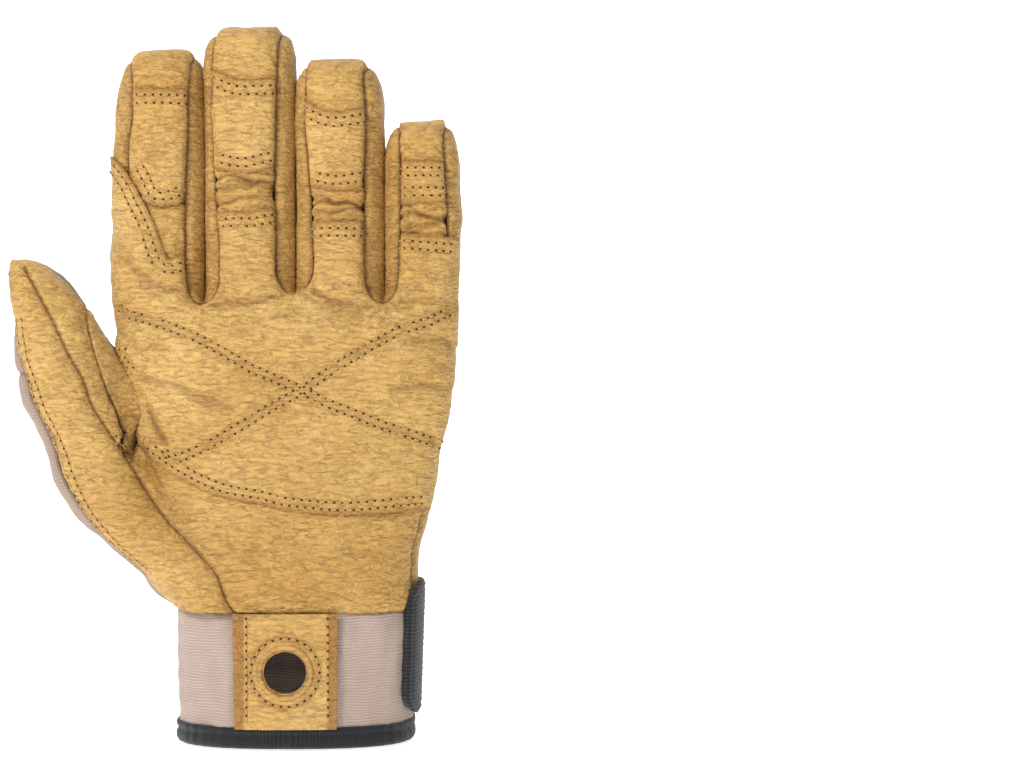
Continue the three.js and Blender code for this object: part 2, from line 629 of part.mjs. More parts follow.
// Patch over the palm, with a stub on the first part of each finger
function palmPatch() {
  const notch = CUFF_TOP + WEB.notch;
  const left = (z) => {
    if (z < notch - NOTCH_BLEND) return palmLeftX(z) + SEAM_GAP;
    const edge = edgeX(z, -1) + PATCH_INSET;
    return Math.max(edge, mix(webX(1, z) + SEAM_GAP, edge, ease((z - notch) / NOTCH_BLEND)));
  };
  const right = (z) => edgeX(z, 1) - PATCH_INSET;
  const borders = (finger, row) => {
    const ends = [-1, 1].map((side) => {
      const p = seamPoint(finger, side, row, HALF_GAP, -1);
      if (finger.crotch[side]) return p;
      return { x: side < 0 ? left(p.z) : right(p.z), z: p.z };
    });
    return ends;
  };
  const ends = [left(CROTCH_LINE), right(CROTCH_LINE)];
  const shares = handShares(ends[0], ends[1], PALM_COLUMNS);
  const palm = PATCH_ROWS.map((t) =>
    shares.map((across) => {
      const z = mix(patchEdgeZ(across), knuckleLevel(across, ends[0], ends[1], -1) - SEAM_GAP, t);
      const x = mix(left(z), right(z), across);
      const knot = skinKnot(x, z, -1, PALM_SIDE);
      const share = handShare(x, z);
      knot.point.addScaledVector(knot.inward, -4 * VALLEY_LIFT * share * (1 - share));
      return knot;
    }),
  );
  const stubs = FINGERS.map((finger, i) => {
    const base = palm[palm.length - 1].slice(PALM_COLUMNS * i, PALM_COLUMNS * (i + 1) + 1);
    const across = fingerShares(finger, PALM_COLUMNS);
    const rows = CROTCH_ANGLES.slice(1).map((angle) => {
      const [a, b] = borders(finger, { angle });
      return across.map((s) => skinKnot(mix(a.x, b.x, s), mix(a.z, b.z, s), -1));
    });
    const low = CROTCH_LINE + CROTCH_DEPTH;
    const upper = [0.35, 0.7, 1].map((t) =>
      across.map((s, column) => {
        const start = rows[rows.length - 1][column].point.z;
        const z = mix(start, CROTCH_LINE + finger.length * finger.patch.stub(s), t);
        const [a, b] = borders(finger, { z: Math.max(z, low) });
        return skinKnot(mix(a.x, b.x, s), z, -1);
      }),
    );
    return [base, ...rows, ...upper];
  });
  return [palm, ...stubs];
}

// Patch on one finger's front, between its lower and upper edges
function fingerPatch(finger) {
  return steps(5).map((t) =>
    steps(4).map((s) => {
      const z = CROTCH_LINE + finger.length * mix(finger.patch.lower(s), finger.patch.upper(s), t);
      const [a, b] = [-1, 1].map((side) => seamPoint(finger, side, { z }, SEAM_GAP, -1));
      return skinKnot(mix(a.x, b.x, s), z, -1);
    }),
  );
}

// Shares of a strip's width from the front seam over the edge to the back seam
const STRIP_SHARES = [0, 0.5, 0.87, 1];
const STRIP_STATIONS = [
  ...STRIP_SHARES.map((share) => ({ share, face: -1 })),
  ...STRIP_SHARES.slice(0, -1).reverse().map((share) => ({ share, face: 1 })),
];

// Strip between two fingers: down one finger, round the crotch and up the other
function middleStrip(finger, next) {
  const crotch = finger.crotch[1];
  const leg = (owner, side) => {
    const rows = fingerRows(owner, 4);
    return [...rows.crotch, ...rows.straight, ...rows.tip].map((row) => ({ owner, side, row }));
  };
  const path = [...leg(finger, 1).reverse(), ...leg(next, -1).slice(1)];
  const pointAt = ({ owner, side, row }, { share, face }) => {
    const seam = seamPoint(owner, side, row, -HALF_GAP, face);
    const isCrotch = row.angle !== undefined;
    const sin = isCrotch ? Math.sin(row.angle * RADIANS) : 1;
    const cos = isCrotch ? Math.cos(row.angle * RADIANS) : 0;
    const ridge = isCrotch
      ? {
          x: crotch.x - (side * FINGER_GAP * sin) / 2,
          z: crotch.z + CROTCH_DEPTH - BACK_CROTCH_DROP / 2 - (CROTCH_DEPTH - CROTCH_ROLL) * cos,
        }
      : { x: side < 0 ? fingerSection(owner, row.z).left : fingerSection(owner, row.z).right, z: row.z };
    const s = fingerSection(owner, isCrotch ? CROTCH_LINE + CROTCH_DEPTH : row.z);
    const start = Math.abs((seam.x - (s.left + s.right) / 2) / ((s.right - s.left) / 2));
    const q0 = isCrotch ? mix(0.7, clamp(start, 0, 0.95), sin) : clamp(start, 0, 0.95);
    const height = arch(mix(q0, 1, share), FINGER_POWER) / arch(q0, FINGER_POWER);
    const y = mix(s.plane, skinY(seam.x, seam.z, face), height);
    return new THREE.Vector3(mix(seam.x, ridge.x, share), y, mix(seam.z, ridge.z, share));
  };
  const grid = path.map((place) => STRIP_STATIONS.map((station) => pointAt(place, station)));
  return grid.map((points, i) =>
    points.map((point, j) => {
      const isSeam = j === 0 || j === points.length - 1;
      if (isSeam) return skinKnot(point.x, point.z, j === 0 ? -1 : 1);
      const along = grid[Math.min(i + 1, grid.length - 1)][j].clone().sub(grid[Math.max(i - 1, 0)][j]);
      const across = points[j + 1].clone().sub(points[j - 1]);
      return { point, inward: across.cross(along).normalize() };
    }),
  );
}

// Strip over an outer edge of the hand: from a front border over the edge to a back border
function edgeStrip(heights, side, borderX, outlineX) {
  return heights.map((z) => {
    const edge = outlineX(z);
    return STRIP_STATIONS.map(({ share, face }) => {
      if (share === 1) return edgeKnot(edge, z, side);
      return skinKnot(mix(borderX(z, face), edge, Math.sin((share * Math.PI) / 2)), z, face, ONLY_HAND);
    });
  });
}

function outerStrip(finger, side, bottom) {
  const rows = fingerRows(finger, 4);
  const upper = [...rows.straight, ...rows.tip].map((row) => row.z);
  const shares = side < 0 ? [0, 0.3, 0.6, 1] : [0, 0.07, 0.14, 0.28, 0.42, 0.58, 0.72, 0.86, 1];
  const lower = shares.map((t) => mix(bottom, CROTCH_LINE + CROTCH_DEPTH, t));
  const borderX = (z, face) => outerSeamX(side, z, face) + side * (face < 0 ? HALF_GAP : SEAM_GAP);
  return edgeStrip([...lower, ...upper], side, borderX, (z) => edgeX(z, side));
}

// Heights of the thumb's rows from the web's foot, or from a height above it, up to its ridge
const thumbHeights = (bottom, count) => [
  ...steps(count).map((t) => mix(bottom, CUFF_TOP + WEB.top, t)),
  ...[0.3, 0.65, 1].map((t) => mix(CUFF_TOP + WEB.top, THUMB.top - THUMB.tip, t)),
  ...[26, 48, 68].map((angle) => THUMB.top - THUMB.tip * (1 - Math.sin(angle * RADIANS))),
  THUMB.top,
];

const thumbKnot = (x, z, face) => {
  if (z < THUMB.top) return skinKnot(x, z, face, z < WEB_FOOT ? BOTH : ONLY_THUMB);
  const knot = tipKnot(x, THUMB, thumbSection(z));
  if (face > 0) knot.point.y += SEAM_GAP;
  return knot;
};
const isThumbCap = (z) => z > THUMB.top - THUMB.tip * (1 - Math.sin(60 * RADIANS));

// Leather on the outer half of the thumb's front
function thumbOuter() {
  return [...SEAM_HEIGHTS, ...thumbHeights(WEB_FOOT, 5)].map((z) => {
    const border = isThumbCap(z) ? thumbSection(z).left : thumbLeatherX(z) + HALF_GAP;
    return steps(4).map((t) => thumbKnot(mix(border, thumbSeamX(z) - SEAM_GAP, t), z, -1));
  });
}

// Leather on the inner half, from the long seam to the web's seam and, above it, over the edge
function thumbInner() {
  const foot = WEB_FOOT - WEB.jog + WEB_CORNER;
  return [foot, ...thumbHeights(WEB_FOOT, 5)].map((z) => {
    const start = thumbSeamX(z) + HALF_GAP;
    const isFree = z > CUFF_TOP + WEB.top + SEAM_GAP;
    const border = z < WEB_FOOT ? palmLeftX(z) - HALF_GAP : webX(0, z) - SEAM_GAP;
    const end = isFree ? thumbSection(z).right : border;
    return steps(5).map((t) => {
      if (t === 1 && isFree && z < THUMB.top) return edgeKnot(end, z, 1, ONLY_THUMB);
      return thumbKnot(mix(start, end, isFree ? Math.sin((t * Math.PI) / 2) : t), z, -1);
    });
  });
}

// Web between thumb and palm: a membrane from the thumb's seam to the palm's, which passes over
// the edge between them to the back
function thumbWeb() {
  const across = steps(3);
  const seams = [
    { across: 0, shift: HALF_GAP, which: ONLY_THUMB },
    { across: 1, shift: -SEAM_GAP, which: ONLY_HAND },
  ];
  const between = (from, to, a) => ({
    point: from.point.clone().lerp(to.point, a),
    inward: from.inward.clone().lerp(to.inward, a).normalize(),
  });
  const row = (up, face) => {
    const ends = seams.map((seam) => {
      const { x, z } = webPoint(seam.across, up);
      return skinKnot(x + seam.shift, z, face, seam.which);
    });
    const knots = across.map((a) => between(ends[0], ends[1], a));
    return up > 0 ? knots : knots.map((knot) => ({ ...knot, inward: between(...ends, 0.5).inward }));
  };
  const rimEnds = seams.map((seam, i) => {
    const { x, z } = webPoint(seam.across, 1);
    const knot = edgeKnot(x + seam.shift, z, i === 0 ? 1 : -1, seam.which);
    knot.inward.z = -1;
    knot.inward.normalize();
    return knot;
  });
  const rim = across.map((a) => {
    const knot = between(rimEnds[0], rimEnds[1], a);
    knot.point.x = webPoint(a, 1).x + mix(HALF_GAP, -HALF_GAP, a);
    knot.point.z = webPoint(a, 1).z;
    return knot;
  });
  return [
    ...[0, 0.3, 0.56, 0.78, 0.93].map((up) => row(up, -1)),
    rim,
    ...[0.93, WEB.backShare].map((up) => row(up, 1)),
  ];
}

// Borders of the woven back: beside the web, and the column that its thumb part shares with the rest
const webBack = [0, 1].map((across) => webPoint(across, WEB.backShare));
const THUMB_BACK_BOTTOM = webBack[1].z - SEAM_GAP;
function thumbBackRightX(z) {
  if (z > CUFF_TOP + WEB.top) {
    const s = thumbSection(z);
    return mix(s.left, s.right, (1 + BACK_RIM_SHARE) / 2);
  }
  if (z > webBack[0].z) return webX(0, z) - 2 * SEAM_GAP;
  const share = (z - webBack[1].z) / (webBack[0].z - webBack[1].z);
  return mix(webBack[1].x, webBack[0].x, share) - 2 * SEAM_GAP;
}
const backColumnX = (z) =>
  mix(-CUFF_WIDTH / 2 + 13, webBack[1].x + SEAM_GAP, ease((z - CUFF_TOP) / (THUMB_BACK_BOTTOM - CUFF_TOP)));

// Stations of the thumb's back: from the leather's border round the outer edge to the right border
function thumbBackRow(z, right) {
  const s = thumbSection(z);
  if (isThumbCap(z)) {
    const rim = mix(s.right, s.left, (1 + BACK_RIM_SHARE) / 2);
    const back = steps(4).map((t) => thumbKnot(mix(rim, right, t), z, 1));
    return [back[0], back[0], ...back];
  }
  const which = z > THUMB_BACK_BOTTOM ? ONLY_THUMB : BOTH;
  const back = [0.06, 0.25, 0.5, 0.75, 1].map((t) => skinKnot(mix(s.left, right, t), z, 1, which));
  return [skinKnot(thumbLeatherX(z) - SEAM_GAP, z, -1), edgeKnot(s.left, z, -1, ONLY_THUMB), ...back];
}

function thumbBack() {
  const heights = thumbHeights(THUMB_BACK_BOTTOM + SEAM_GAP, 2);
  const seam = [webBack[0].z, CUFF_TOP + WEB.top + 1];
  return [...heights, ...seam].sort((a, b) => a - b).map((z) => thumbBackRow(z, thumbBackRightX(z)));
}

// Woven back of the hand, in two grids that meet along one column
function backPanel() {
  const low = CUFF_TOP + HALF_GAP;
  const ends = [outerSeamX(-1, CROTCH_LINE, 1), outerSeamX(1, CROTCH_LINE, 1)];
  const shares = handShares(ends[0], ends[1], 3);
  const heights = steps(7).map((t) => mix(low, THUMB_BACK_BOTTOM, t));
  const left = (z) => {
    if (z <= THUMB_BACK_BOTTOM) return backColumnX(z);
    return Math.max(webX(1, z) + SEAM_GAP, outerSeamX(-1, z, 1) + HALF_GAP);
  };
  const row = (heightAt) =>
    shares.map((across) => {
      const z = heightAt(across);
      const which = z > THUMB_BACK_BOTTOM ? ONLY_HAND : BOTH;
      return skinKnot(mix(left(z), outerSeamX(1, z, 1) - HALF_GAP, across), z, 1, which);
    });
  const level = (across) => knuckleLevel(across, ends[0], ends[1], 1) - SEAM_GAP;
  const hand = [
    ...heights.map((z) => row(() => z)),
    ...[0.5, 1].map((t) => row((across) => mix(THUMB_BACK_BOTTOM, level(across), t))),
  ];
  return [heights.map((z) => thumbBackRow(z, backColumnX(z))), hand];
}

// A knot on the cuff, by its angle from the palm side towards the little-finger side
function cuffKnot(degrees, z) {
  const sin = Math.sin(degrees * RADIANS);
  const cos = Math.cos(degrees * RADIANS);
  const half = CUFF_WIDTH / 2 - CUFF_TAPER * (1 - z / CUFF_TOP);
  const deep = half * (CUFF_DEPTH / CUFF_WIDTH);
  const x = Math.sign(sin) * Math.abs(sin) ** (2 / CUFF_POWER);
  const y = -Math.sign(cos) * Math.abs(cos) ** (2 / CUFF_POWER);
  const slope = (v) => Math.sign(v) * Math.abs(v) ** (CUFF_POWER - 1);
  return {
    point: new THREE.Vector3(half * x, deep * y, z),
    inward: new THREE.Vector3(-slope(x) / half, -slope(y) / deep, 0).normalize(),
  };
}
const cuffAngle = (x) => {
  const share = Math.abs(x) / (CUFF_WIDTH / 2 - CUFF_TAPER / 2);
  return (Math.sign(x) * Math.asin(share ** (CUFF_POWER / 2))) / RADIANS;
};

// Knitted band, open behind the tab
function cuffBand() {
  const start = cuffAngle(TAB_WIDTH / 2 - TAB_LAP + TAB_SHIFT);
  const end = 360 + cuffAngle(TAB_SHIFT + TAB_LAP - TAB_WIDTH / 2);
  return steps(3).map((t) => {
    const z = mix(HEM_HEIGHT + SEAM_GAP, CUFF_TOP - HALF_GAP, t);
    return steps(28).map((u) => cuffKnot(mix(start, end, u), z));
  });
}

// Leather tab: rays from the hole's rim to the tab's outline
function tabGrid() {
  const half = TAB_WIDTH / 2;
  const [low, high] = [HEM_HEIGHT + SEAM_GAP, CUFF_TOP - HALF_GAP];
  const side = steps(7).slice(0, -1);
  const outline = [
    ...side.map((t) => [mix(-half, half, t), low]),
    ...side.map((t) => [half, mix(low, high, t)]),
    ...side.map((t) => [mix(half, -half, t), high]),
    ...side.map((t) => [-half, mix(high, low, t)]),
  ];
  outline.push(outline[0]);
  return [0, 0.3, 0.65, 1].map((t) =>
    outline.map(([x, z]) => {
      const reach = Math.hypot(x, z - HOLE_HEIGHT);
      const rim = HOLE_DIAMETER / 2 / reach;
      const share = mix(rim, 1, t);
      return cuffKnot(cuffAngle(TAB_SHIFT + x * share), HOLE_HEIGHT + (z - HOLE_HEIGHT) * share);
    }),
  );
}

// Raised lip round the hole
function holeRing() {
  return [HOLE_DIAMETER / 2, HOLE_DIAMETER / 2 + HOLE_RING_WIDTH].map((radius) =>
    steps(28).map((t) => {
      const turn = 2 * Math.PI * t;
      return cuffKnot(cuffAngle(TAB_SHIFT + radius * Math.cos(turn)), HOLE_HEIGHT + radius * Math.sin(turn));
    }),
  );
}

// Hem: a rolled section with a groove, carried round the wrist opening.
// Columns are shares of the hem's wall, from outside in, and of its height.
const HEM_SECTION = [
  { deep: 0.0, up: 0.14 },
  { deep: 0.3, up: 0.0 },
  { deep: 0.75, up: 0.04 },
  { deep: 1.0, up: 0.35 },
  { deep: 0.95, up: 0.8 },
  { deep: 0.6, up: 1.0 },
  { deep: 0.1, up: 0.96 },
  { deep: 0.03, up: 0.76 },
  { deep: 0.2, up: 0.62 },
  { deep: 0.02, up: 0.45 },
];
const HEM_SEGMENTS = 32;
const HEM_PROUD = 1.1;
function hemGeometry() {
  const count = HEM_SECTION.length;
  const positions = [];
  const triangles = [];
  for (let i = 0; i < HEM_SEGMENTS; i++) {
    for (const { deep, up } of HEM_SECTION) {
      const knot = cuffKnot((360 * i) / HEM_SEGMENTS, HEM_HEIGHT * up);
      positions.push(knot.point.addScaledVector(knot.inward, HEM_WALL * deep - HEM_PROUD));
    }
  }
  for (let i = 0; i < HEM_SEGMENTS; i++) {
    const next = (i + 1) % HEM_SEGMENTS;
    for (let j = 0; j < count; j++) {
      const after = (j + 1) % count;
      const [a, b] = [i * count + j, i * count + after];
      const [d, c] = [next * count + j, next * count + after];
      triangles.push([a, b, c], [a, c, d]);
    }
  }
  return solid(positions, triangles);
}

// Closure strap with round corners at its end, and the pad that it closes on
const STRAP_FOOT = HEM_HEIGHT + STRAP_RISE;
function strapGrid() {
  const corner = STRAP_CORNER;
  const turns = [0, 30, 60, 90].map((angle) => corner * (1 - Math.cos(angle * RADIANS)));
  const heights = [...turns, STRAP_HEIGHT / 2, ...turns.map((v) => STRAP_HEIGHT - v).reverse()];
  return heights.map((up) => {
    const past = Math.max(corner - up, up - STRAP_HEIGHT + corner, 0);
    const inset = corner - Math.sqrt(corner * corner - past * past);
    const start = STRAP_START + inset / (CUFF_DEPTH / 2) / RADIANS;
    return steps(8).map((t) => cuffKnot(mix(start, STRAP_END, t), STRAP_FOOT + up));
  });
}
function padGrid() {
  const [low, high] = [STRAP_FOOT + STRAP_CORNER / 2, CUFF_TOP - STRAP_CORNER / 2];
  return steps(2).map((t) =>
    steps(6).map((u) => cuffKnot(mix(STRAP_END + 2, PAD_END, u), mix(low, high, t))),
  );
}

// Parts of the glove, by name
const parts = new THREE.Group();
const leather = { color: 0xd9ab5c, roughness: 0.62, metalness: 0 };
const patchLeather = { color: 0xdfb267, roughness: 0.66, metalness: 0 };
const darkLeather = { color: 0xc9984e, roughness: 0.6, metalness: 0 };
const wovenCloth = { color: 0xbca38f, roughness: 0.9, metalness: 0 };
const knit = { color: 0xc4aea0, roughness: 0.92, metalness: 0 };
const binding = { color: 0x25272a, roughness: 0.8, metalness: 0 };
function addPart(name, geometry, finish) {
  const mesh = new THREE.Mesh(geometry, new THREE.MeshStandardMaterial(finish));
  mesh.name = name;
  parts.add(mesh);
}

addPart("palm_panel", wall([palmPanel()], 0, LEATHER), leather);
addPart("palm_patch", wall(palmPatch(), -LAP_GAP - PATCH_LEATHER, -LAP_GAP), patchLeather);
const names = ["index", "middle", "ring", "little"];
FINGERS.forEach((finger, i) => {
  const front = fromTip(fingerPanel(finger, PALM_FACE, FRONT_COLUMNS, STRAIGHT_ROWS));
  addPart(`${names[i]}_front`, wall([front], 0, LEATHER), leather);
  addPart(`${names[i]}_patch`, wall([fingerPatch(finger)], -LAP_GAP - PATCH_LEATHER, -LAP_GAP), patchLeather);
  if (i < 3) {
    const strip = middleStrip(finger, FINGERS[i + 1]);
    addPart(`${names[i]}_${names[i + 1]}_side`, wall([strip], 0, LEATHER), darkLeather);
  }
});
const indexStrip = outerStrip(INDEX, -1, CUFF_TOP + WEB.notch + NOTCH_BLEND + SEAM_GAP);
const littleStrip = outerStrip(LITTLE, 1, CUFF_TOP + SEAM_GAP);
addPart("index_side", wall([indexStrip], 0, LEATHER), darkLeather);
addPart("little_side", wall([littleStrip], 0, LEATHER), darkLeather);
addPart("thumb_outer", wall([thumbOuter()], 0, LEATHER), leather);
addPart("thumb_inner", wall([thumbInner()], 0, LEATHER), leather);
addPart("thumb_web", wall([thumbWeb()], 0, LEATHER), leather);
addPart("thumb_back", wall([thumbBack()], 0, CLOTH), wovenCloth);
addPart("back_panel", wall(backPanel(), 0, CLOTH), wovenCloth);
FINGERS.forEach((finger, i) => {
  const back = fingerPanel(finger, BACK_FACE, BACK_COLUMNS, STRAIGHT_ROWS);
  addPart(`${names[i]}_back`, wall([back], 0, CLOTH), wovenCloth);
});

const tabOuter = -LAP_GAP - TAB_THICKNESS;
const ringOuter = tabOuter - LAP_GAP - HOLE_RING_THICKNESS;
addPart("cuff_band", wall([cuffBand()], 0, CUFF_WALL), knit);
addPart("carabiner_tab", wall([tabGrid()], tabOuter, -LAP_GAP), patchLeather);
addPart("hole_ring", wall([holeRing()], ringOuter, tabOuter - LAP_GAP), leather);
addPart("hem_binding", hemGeometry(), binding);
addPart("closure_strap", wall([strapGrid()], -LAP_GAP - STRAP_THICKNESS, -LAP_GAP), binding);
addPart("closure_pad", wall([padGrid()], -LAP_GAP - PAD_THICKNESS, -LAP_GAP), binding);

export default parts;
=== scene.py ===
"""Leather climbing glove for the left hand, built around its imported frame.

The glove is an assembly of sewn pieces. Every surface starts from the same form as the CAD: sections of
palm, thumb and fingers at each height, joined by a soft union. Each piece is laid out on a grid of that
form, and then its relief is added along the surface's own direction out of the glove: seams that dip,
quilted channels, puckers, creases and folds. All lengths in the arrays are millimetres, and meshes are
made in metres.
"""

import logging
import math
from collections.abc import Callable
from dataclasses import dataclass, field
from enum import Enum

import bpy
import numpy as np
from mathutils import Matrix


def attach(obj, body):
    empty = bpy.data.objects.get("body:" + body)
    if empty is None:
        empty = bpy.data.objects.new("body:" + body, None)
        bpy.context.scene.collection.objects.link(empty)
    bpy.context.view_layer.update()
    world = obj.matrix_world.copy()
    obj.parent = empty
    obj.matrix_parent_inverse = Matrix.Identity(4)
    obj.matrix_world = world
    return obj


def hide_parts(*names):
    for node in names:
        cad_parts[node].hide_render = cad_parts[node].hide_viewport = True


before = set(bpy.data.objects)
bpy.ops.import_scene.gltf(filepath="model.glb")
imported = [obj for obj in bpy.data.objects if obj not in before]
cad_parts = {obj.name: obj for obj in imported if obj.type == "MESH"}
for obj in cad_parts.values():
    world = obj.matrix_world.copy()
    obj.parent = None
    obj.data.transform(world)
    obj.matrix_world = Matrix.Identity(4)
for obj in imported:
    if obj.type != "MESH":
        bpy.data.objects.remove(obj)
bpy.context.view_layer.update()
log = logging.getLogger("glove")

MM = 0.001
SEED = 11

# Leather, cloth and gaps
LEATHER = 1.2
PATCH_LEATHER = 1.0
CLOTH = 1.1
SEAM_GAP = 0.34
LAP_GAP = 0.5

# Cuff, hem, tab and strap
CUFF_WIDTH = 74.2
CUFF_DEPTH = 45.0
CUFF_HEIGHT = 34.5
CUFF_WALL = 1.8
CUFF_TAPER = 1.4
CUFF_POWER = 2.5
HEM_HEIGHT = 6.4
HEM_WALL = 3.2
HEM_PROUD = 1.1
TAB_WIDTH = 30.4
TAB_THICKNESS = 1.3
TAB_LAP = 4.0
TAB_SHIFT = -0.9
HOLE_DIAMETER = 12.6
HOLE_HEIGHT = 23.2
HOLE_RING_WIDTH = 2.2
STRAP_HEIGHT = 40.5
STRAP_THICKNESS = 2.2
STRAP_RISE = 1.8
STRAP_CORNER = 7.0
STRAP_START = 63.0
STRAP_END = 143.0
PAD_THICKNESS = 1.6
PAD_END = 195.0

# Hand
PALM_LENGTH = 94.0
PALM_DEPTH = 31.0
PALM_POWER = 3.0
KNUCKLE_SHIFT = -2.7
FINGER_GAP = 0.9
FINGER_POWER = 2.5
EDGE_INSET = 3.6
CROTCH_DEPTH = 8.0
CROTCH_ROLL = 3.7
BACK_CROTCH_DROP = 9.0
THUMB_VALLEY = 12.0
FINGER_VALLEY = 3.0
SKIRT_SLOPE = 1.5
CUFF_TOP = HEM_HEIGHT + CUFF_HEIGHT
CROTCH_LINE = CUFF_TOP + PALM_LENGTH
PATCH_INSET = 0.9
NOTCH_BLEND = 4.5

# Thumb and web
THUMB_LENGTH = 107.0
THUMB_WIDTH = 30.0
THUMB_DEPTH = 26.0
THUMB_TIP = 11.0
THUMB_REACH = 49.0
THUMB_FORWARD = 13.0
THUMB_CLOTH = 6.0
THUMB_TOP = CUFF_TOP + THUMB_LENGTH
WEB_BOTTOM = 54.0
WEB_TOP = 91.0
WEB_NOTCH = 76.4
WEB_HALF_FOOT = 0.8
WEB_JOG = 9.0
WEB_MOUND = 26.0
WEB_FOOT = CUFF_TOP + WEB_BOTTOM
BACK_SHARE = 0.8

# Meshes: cells to a millimetre when grids are welded, points in one block, and the margin of an inner face
WELD_CELLS = 200
BLOCK = 4000
INNER_MARGIN = 0.25

# Angle up a finger's round tip at which the strips beside it end, in degrees
STRIP_END = 54

# The photograph's scale and origin, for details read off it
PHOTO_STEP = 0.3043
PHOTO_X = 292.0
PHOTO_Y = 745.0

Array = np.ndarray


def mix(a: Array, b: Array, t: Array) -> Array:
    """Value between a and b at the share t."""
    return a + (b - a) * t


def tip_angle(top: float, tip: float, z: Array) -> Array:
    """Angle up the quarter circle of a round tip at height z, in degrees; 0 below the tip."""
    return np.degrees(np.arcsin(np.clip((z - (top - tip)) / tip, 0, 1)))


def run_out(top: float, tip: float, z: Array, start: float = 26.0, over: float = 30.0) -> Array:
    """Share by which a seam has run out to the edge of a round tip.

    Args:
        top: height of the tip's top.
        tip: height of its round part.
        z: heights.
        start: angle up the round at which the seam leaves its place, in degrees.
        over: angle that it takes.

    Returns:
        0 where the seam is in its place and 1 where it is at the edge.
    """
    return ease((tip_angle(top, tip, z) - start) / over)


def ease(v: Array) -> Array:
    """Smooth step from 0 to 1: three times the square less twice the cube of v, held between 0 and 1."""
    t = np.clip(v, 0, 1)
    return t * t * (3 - 2 * t)


def arch(q: Array, power: Array) -> Array:
    """Height of a superellipse of a power at the share q of its half width."""
    return np.maximum(0, 1 - np.abs(q) ** power) ** (1 / power)


def from_photo(pixels: list[tuple[float, float]]) -> Array:
    """Places in x and z, in millimetres, of points read off the photograph.

    Args:
        pixels: points as (column, row) of the photograph.

    Returns:
        An array of (x, z).
    """
    p = np.array(pixels, float)
    return np.stack([(p[:, 0] - PHOTO_X) * PHOTO_STEP, (PHOTO_Y - p[:, 1]) * PHOTO_STEP], axis=1)


@dataclass
class Curve:
    """Smooth curve through the rows of a table that never overshoots them.

    The rows are at rising places, each with its value. Between two rows it is a cubic whose slope at each
    row is the harmonic mean of the slopes beside it, and zero where they differ in sign.
    """

    at: Array
    value: Array
    tangent: Array = field(init=False)

    def __post_init__(self) -> None:
        """Finds the slope at each row."""
        slope = np.diff(self.value) / np.diff(self.at)
        total = slope[:-1] + slope[1:]
        product = slope[:-1] * slope[1:]
        safe = np.where(total == 0, 1, total)
        inner = np.where(product <= 0, 0, 2 * product / safe)
        self.tangent = np.concatenate([slope[:1], inner, slope[-1:]])

    def __call__(self, place: Array) -> Array:
        """Value at each place, held at the ends.

        Args:
            place: places, in any shape.

        Returns:
            One value to a place.
        """
        a = np.clip(place, self.at[0], self.at[-1])
        i = np.clip(np.searchsorted(self.at, a, side="right") - 1, 0, len(self.at) - 2)
        step = self.at[i + 1] - self.at[i]
        t = (a - self.at[i]) / step
        return (
            self.value[i] * (1 + 2 * t) * (1 - t) ** 2
            + self.value[i + 1] * t * t * (3 - 2 * t)
            + step * self.tangent[i] * t * (1 - t) ** 2
            + step * self.tangent[i + 1] * t * t * (t - 1)
        )


def table(columns: str, rows: list[tuple[float, ...]]) -> dict[str, Curve]:
    """Curves for the named columns of a table; the first column is the place."""
    data = np.array(rows, float)
    return {name: Curve(data[:, 0], data[:, i + 1]) for i, name in enumerate(columns.split()[1:])}


FINGER_COLUMNS = "at left right seam_left seam_right front back"
FINGER_FORMS = {
    "index": table(FINGER_COLUMNS, [
        (0.0, 0.92, 1.0, 0.72, 0.78, 0.98, 1.0),
        (0.17, 0.98, 1.0, 0.74, 0.72, 1.0, 1.0),
        (0.4, 1.0, 1.0, 0.66, 0.7, 0.98, 0.98),
        (0.6, 0.98, 1.0, 0.58, 0.76, 1.0, 0.98),
        (0.75, 0.92, 1.0, 0.47, 0.78, 1.0, 0.96),
        (0.86, 0.8, 0.98, 0.48, 0.8, 1.03, 0.92),
        (0.95, 0.63, 0.92, 0.53, 0.82, 1.0, 0.9),
        (1.0, 0.4, 0.7, 0.39, 0.68, 1.0, 0.9),
    ]),
    "middle": table(FINGER_COLUMNS, [
        (0.0, 1.0, 1.0, 0.7, 0.7, 1.0, 1.0),
        (0.2, 1.0, 1.0, 0.68, 0.68, 1.0, 1.0),
        (0.45, 1.0, 1.0, 0.8, 0.66, 0.97, 0.98),
        (0.7, 1.0, 1.0, 0.83, 0.7, 1.0, 0.98),
        (0.85, 0.99, 0.99, 0.8, 0.74, 1.03, 0.94),
        (0.94, 0.88, 0.92, 0.76, 0.76, 1.0, 0.9),
        (1.0, 0.57, 0.6, 0.56, 0.59, 1.0, 0.9),
    ]),
    "ring": table(FINGER_COLUMNS, [
        (0.0, 1.0, 1.0, 0.66, 0.68, 1.0, 1.0),
        (0.2, 1.0, 1.0, 0.63, 0.63, 1.0, 1.0),
        (0.5, 1.0, 1.0, 0.72, 0.65, 0.97, 0.98),
        (0.75, 1.0, 1.0, 0.79, 0.68, 1.0, 0.98),
        (0.88, 0.96, 0.94, 0.77, 0.66, 1.03, 0.92),
        (0.96, 0.84, 0.78, 0.74, 0.64, 1.0, 0.9),
        (1.0, 0.66, 0.54, 0.65, 0.53, 1.0, 0.9),
    ]),
    "little": table(FINGER_COLUMNS, [
        (0.0, 1.0, 0.94, 0.7, 0.8, 0.98, 1.0),
        (0.25, 1.0, 1.0, 0.66, 0.76, 1.0, 1.0),
        (0.5, 1.0, 1.0, 0.62, 0.7, 0.97, 0.98),
        (0.75, 1.0, 0.97, 0.64, 0.66, 1.0, 0.96),
        (0.9, 0.88, 0.84, 0.67, 0.64, 1.02, 0.92),
        (1.0, 0.62, 0.54, 0.61, 0.53, 1.0, 0.9),
    ]),
}
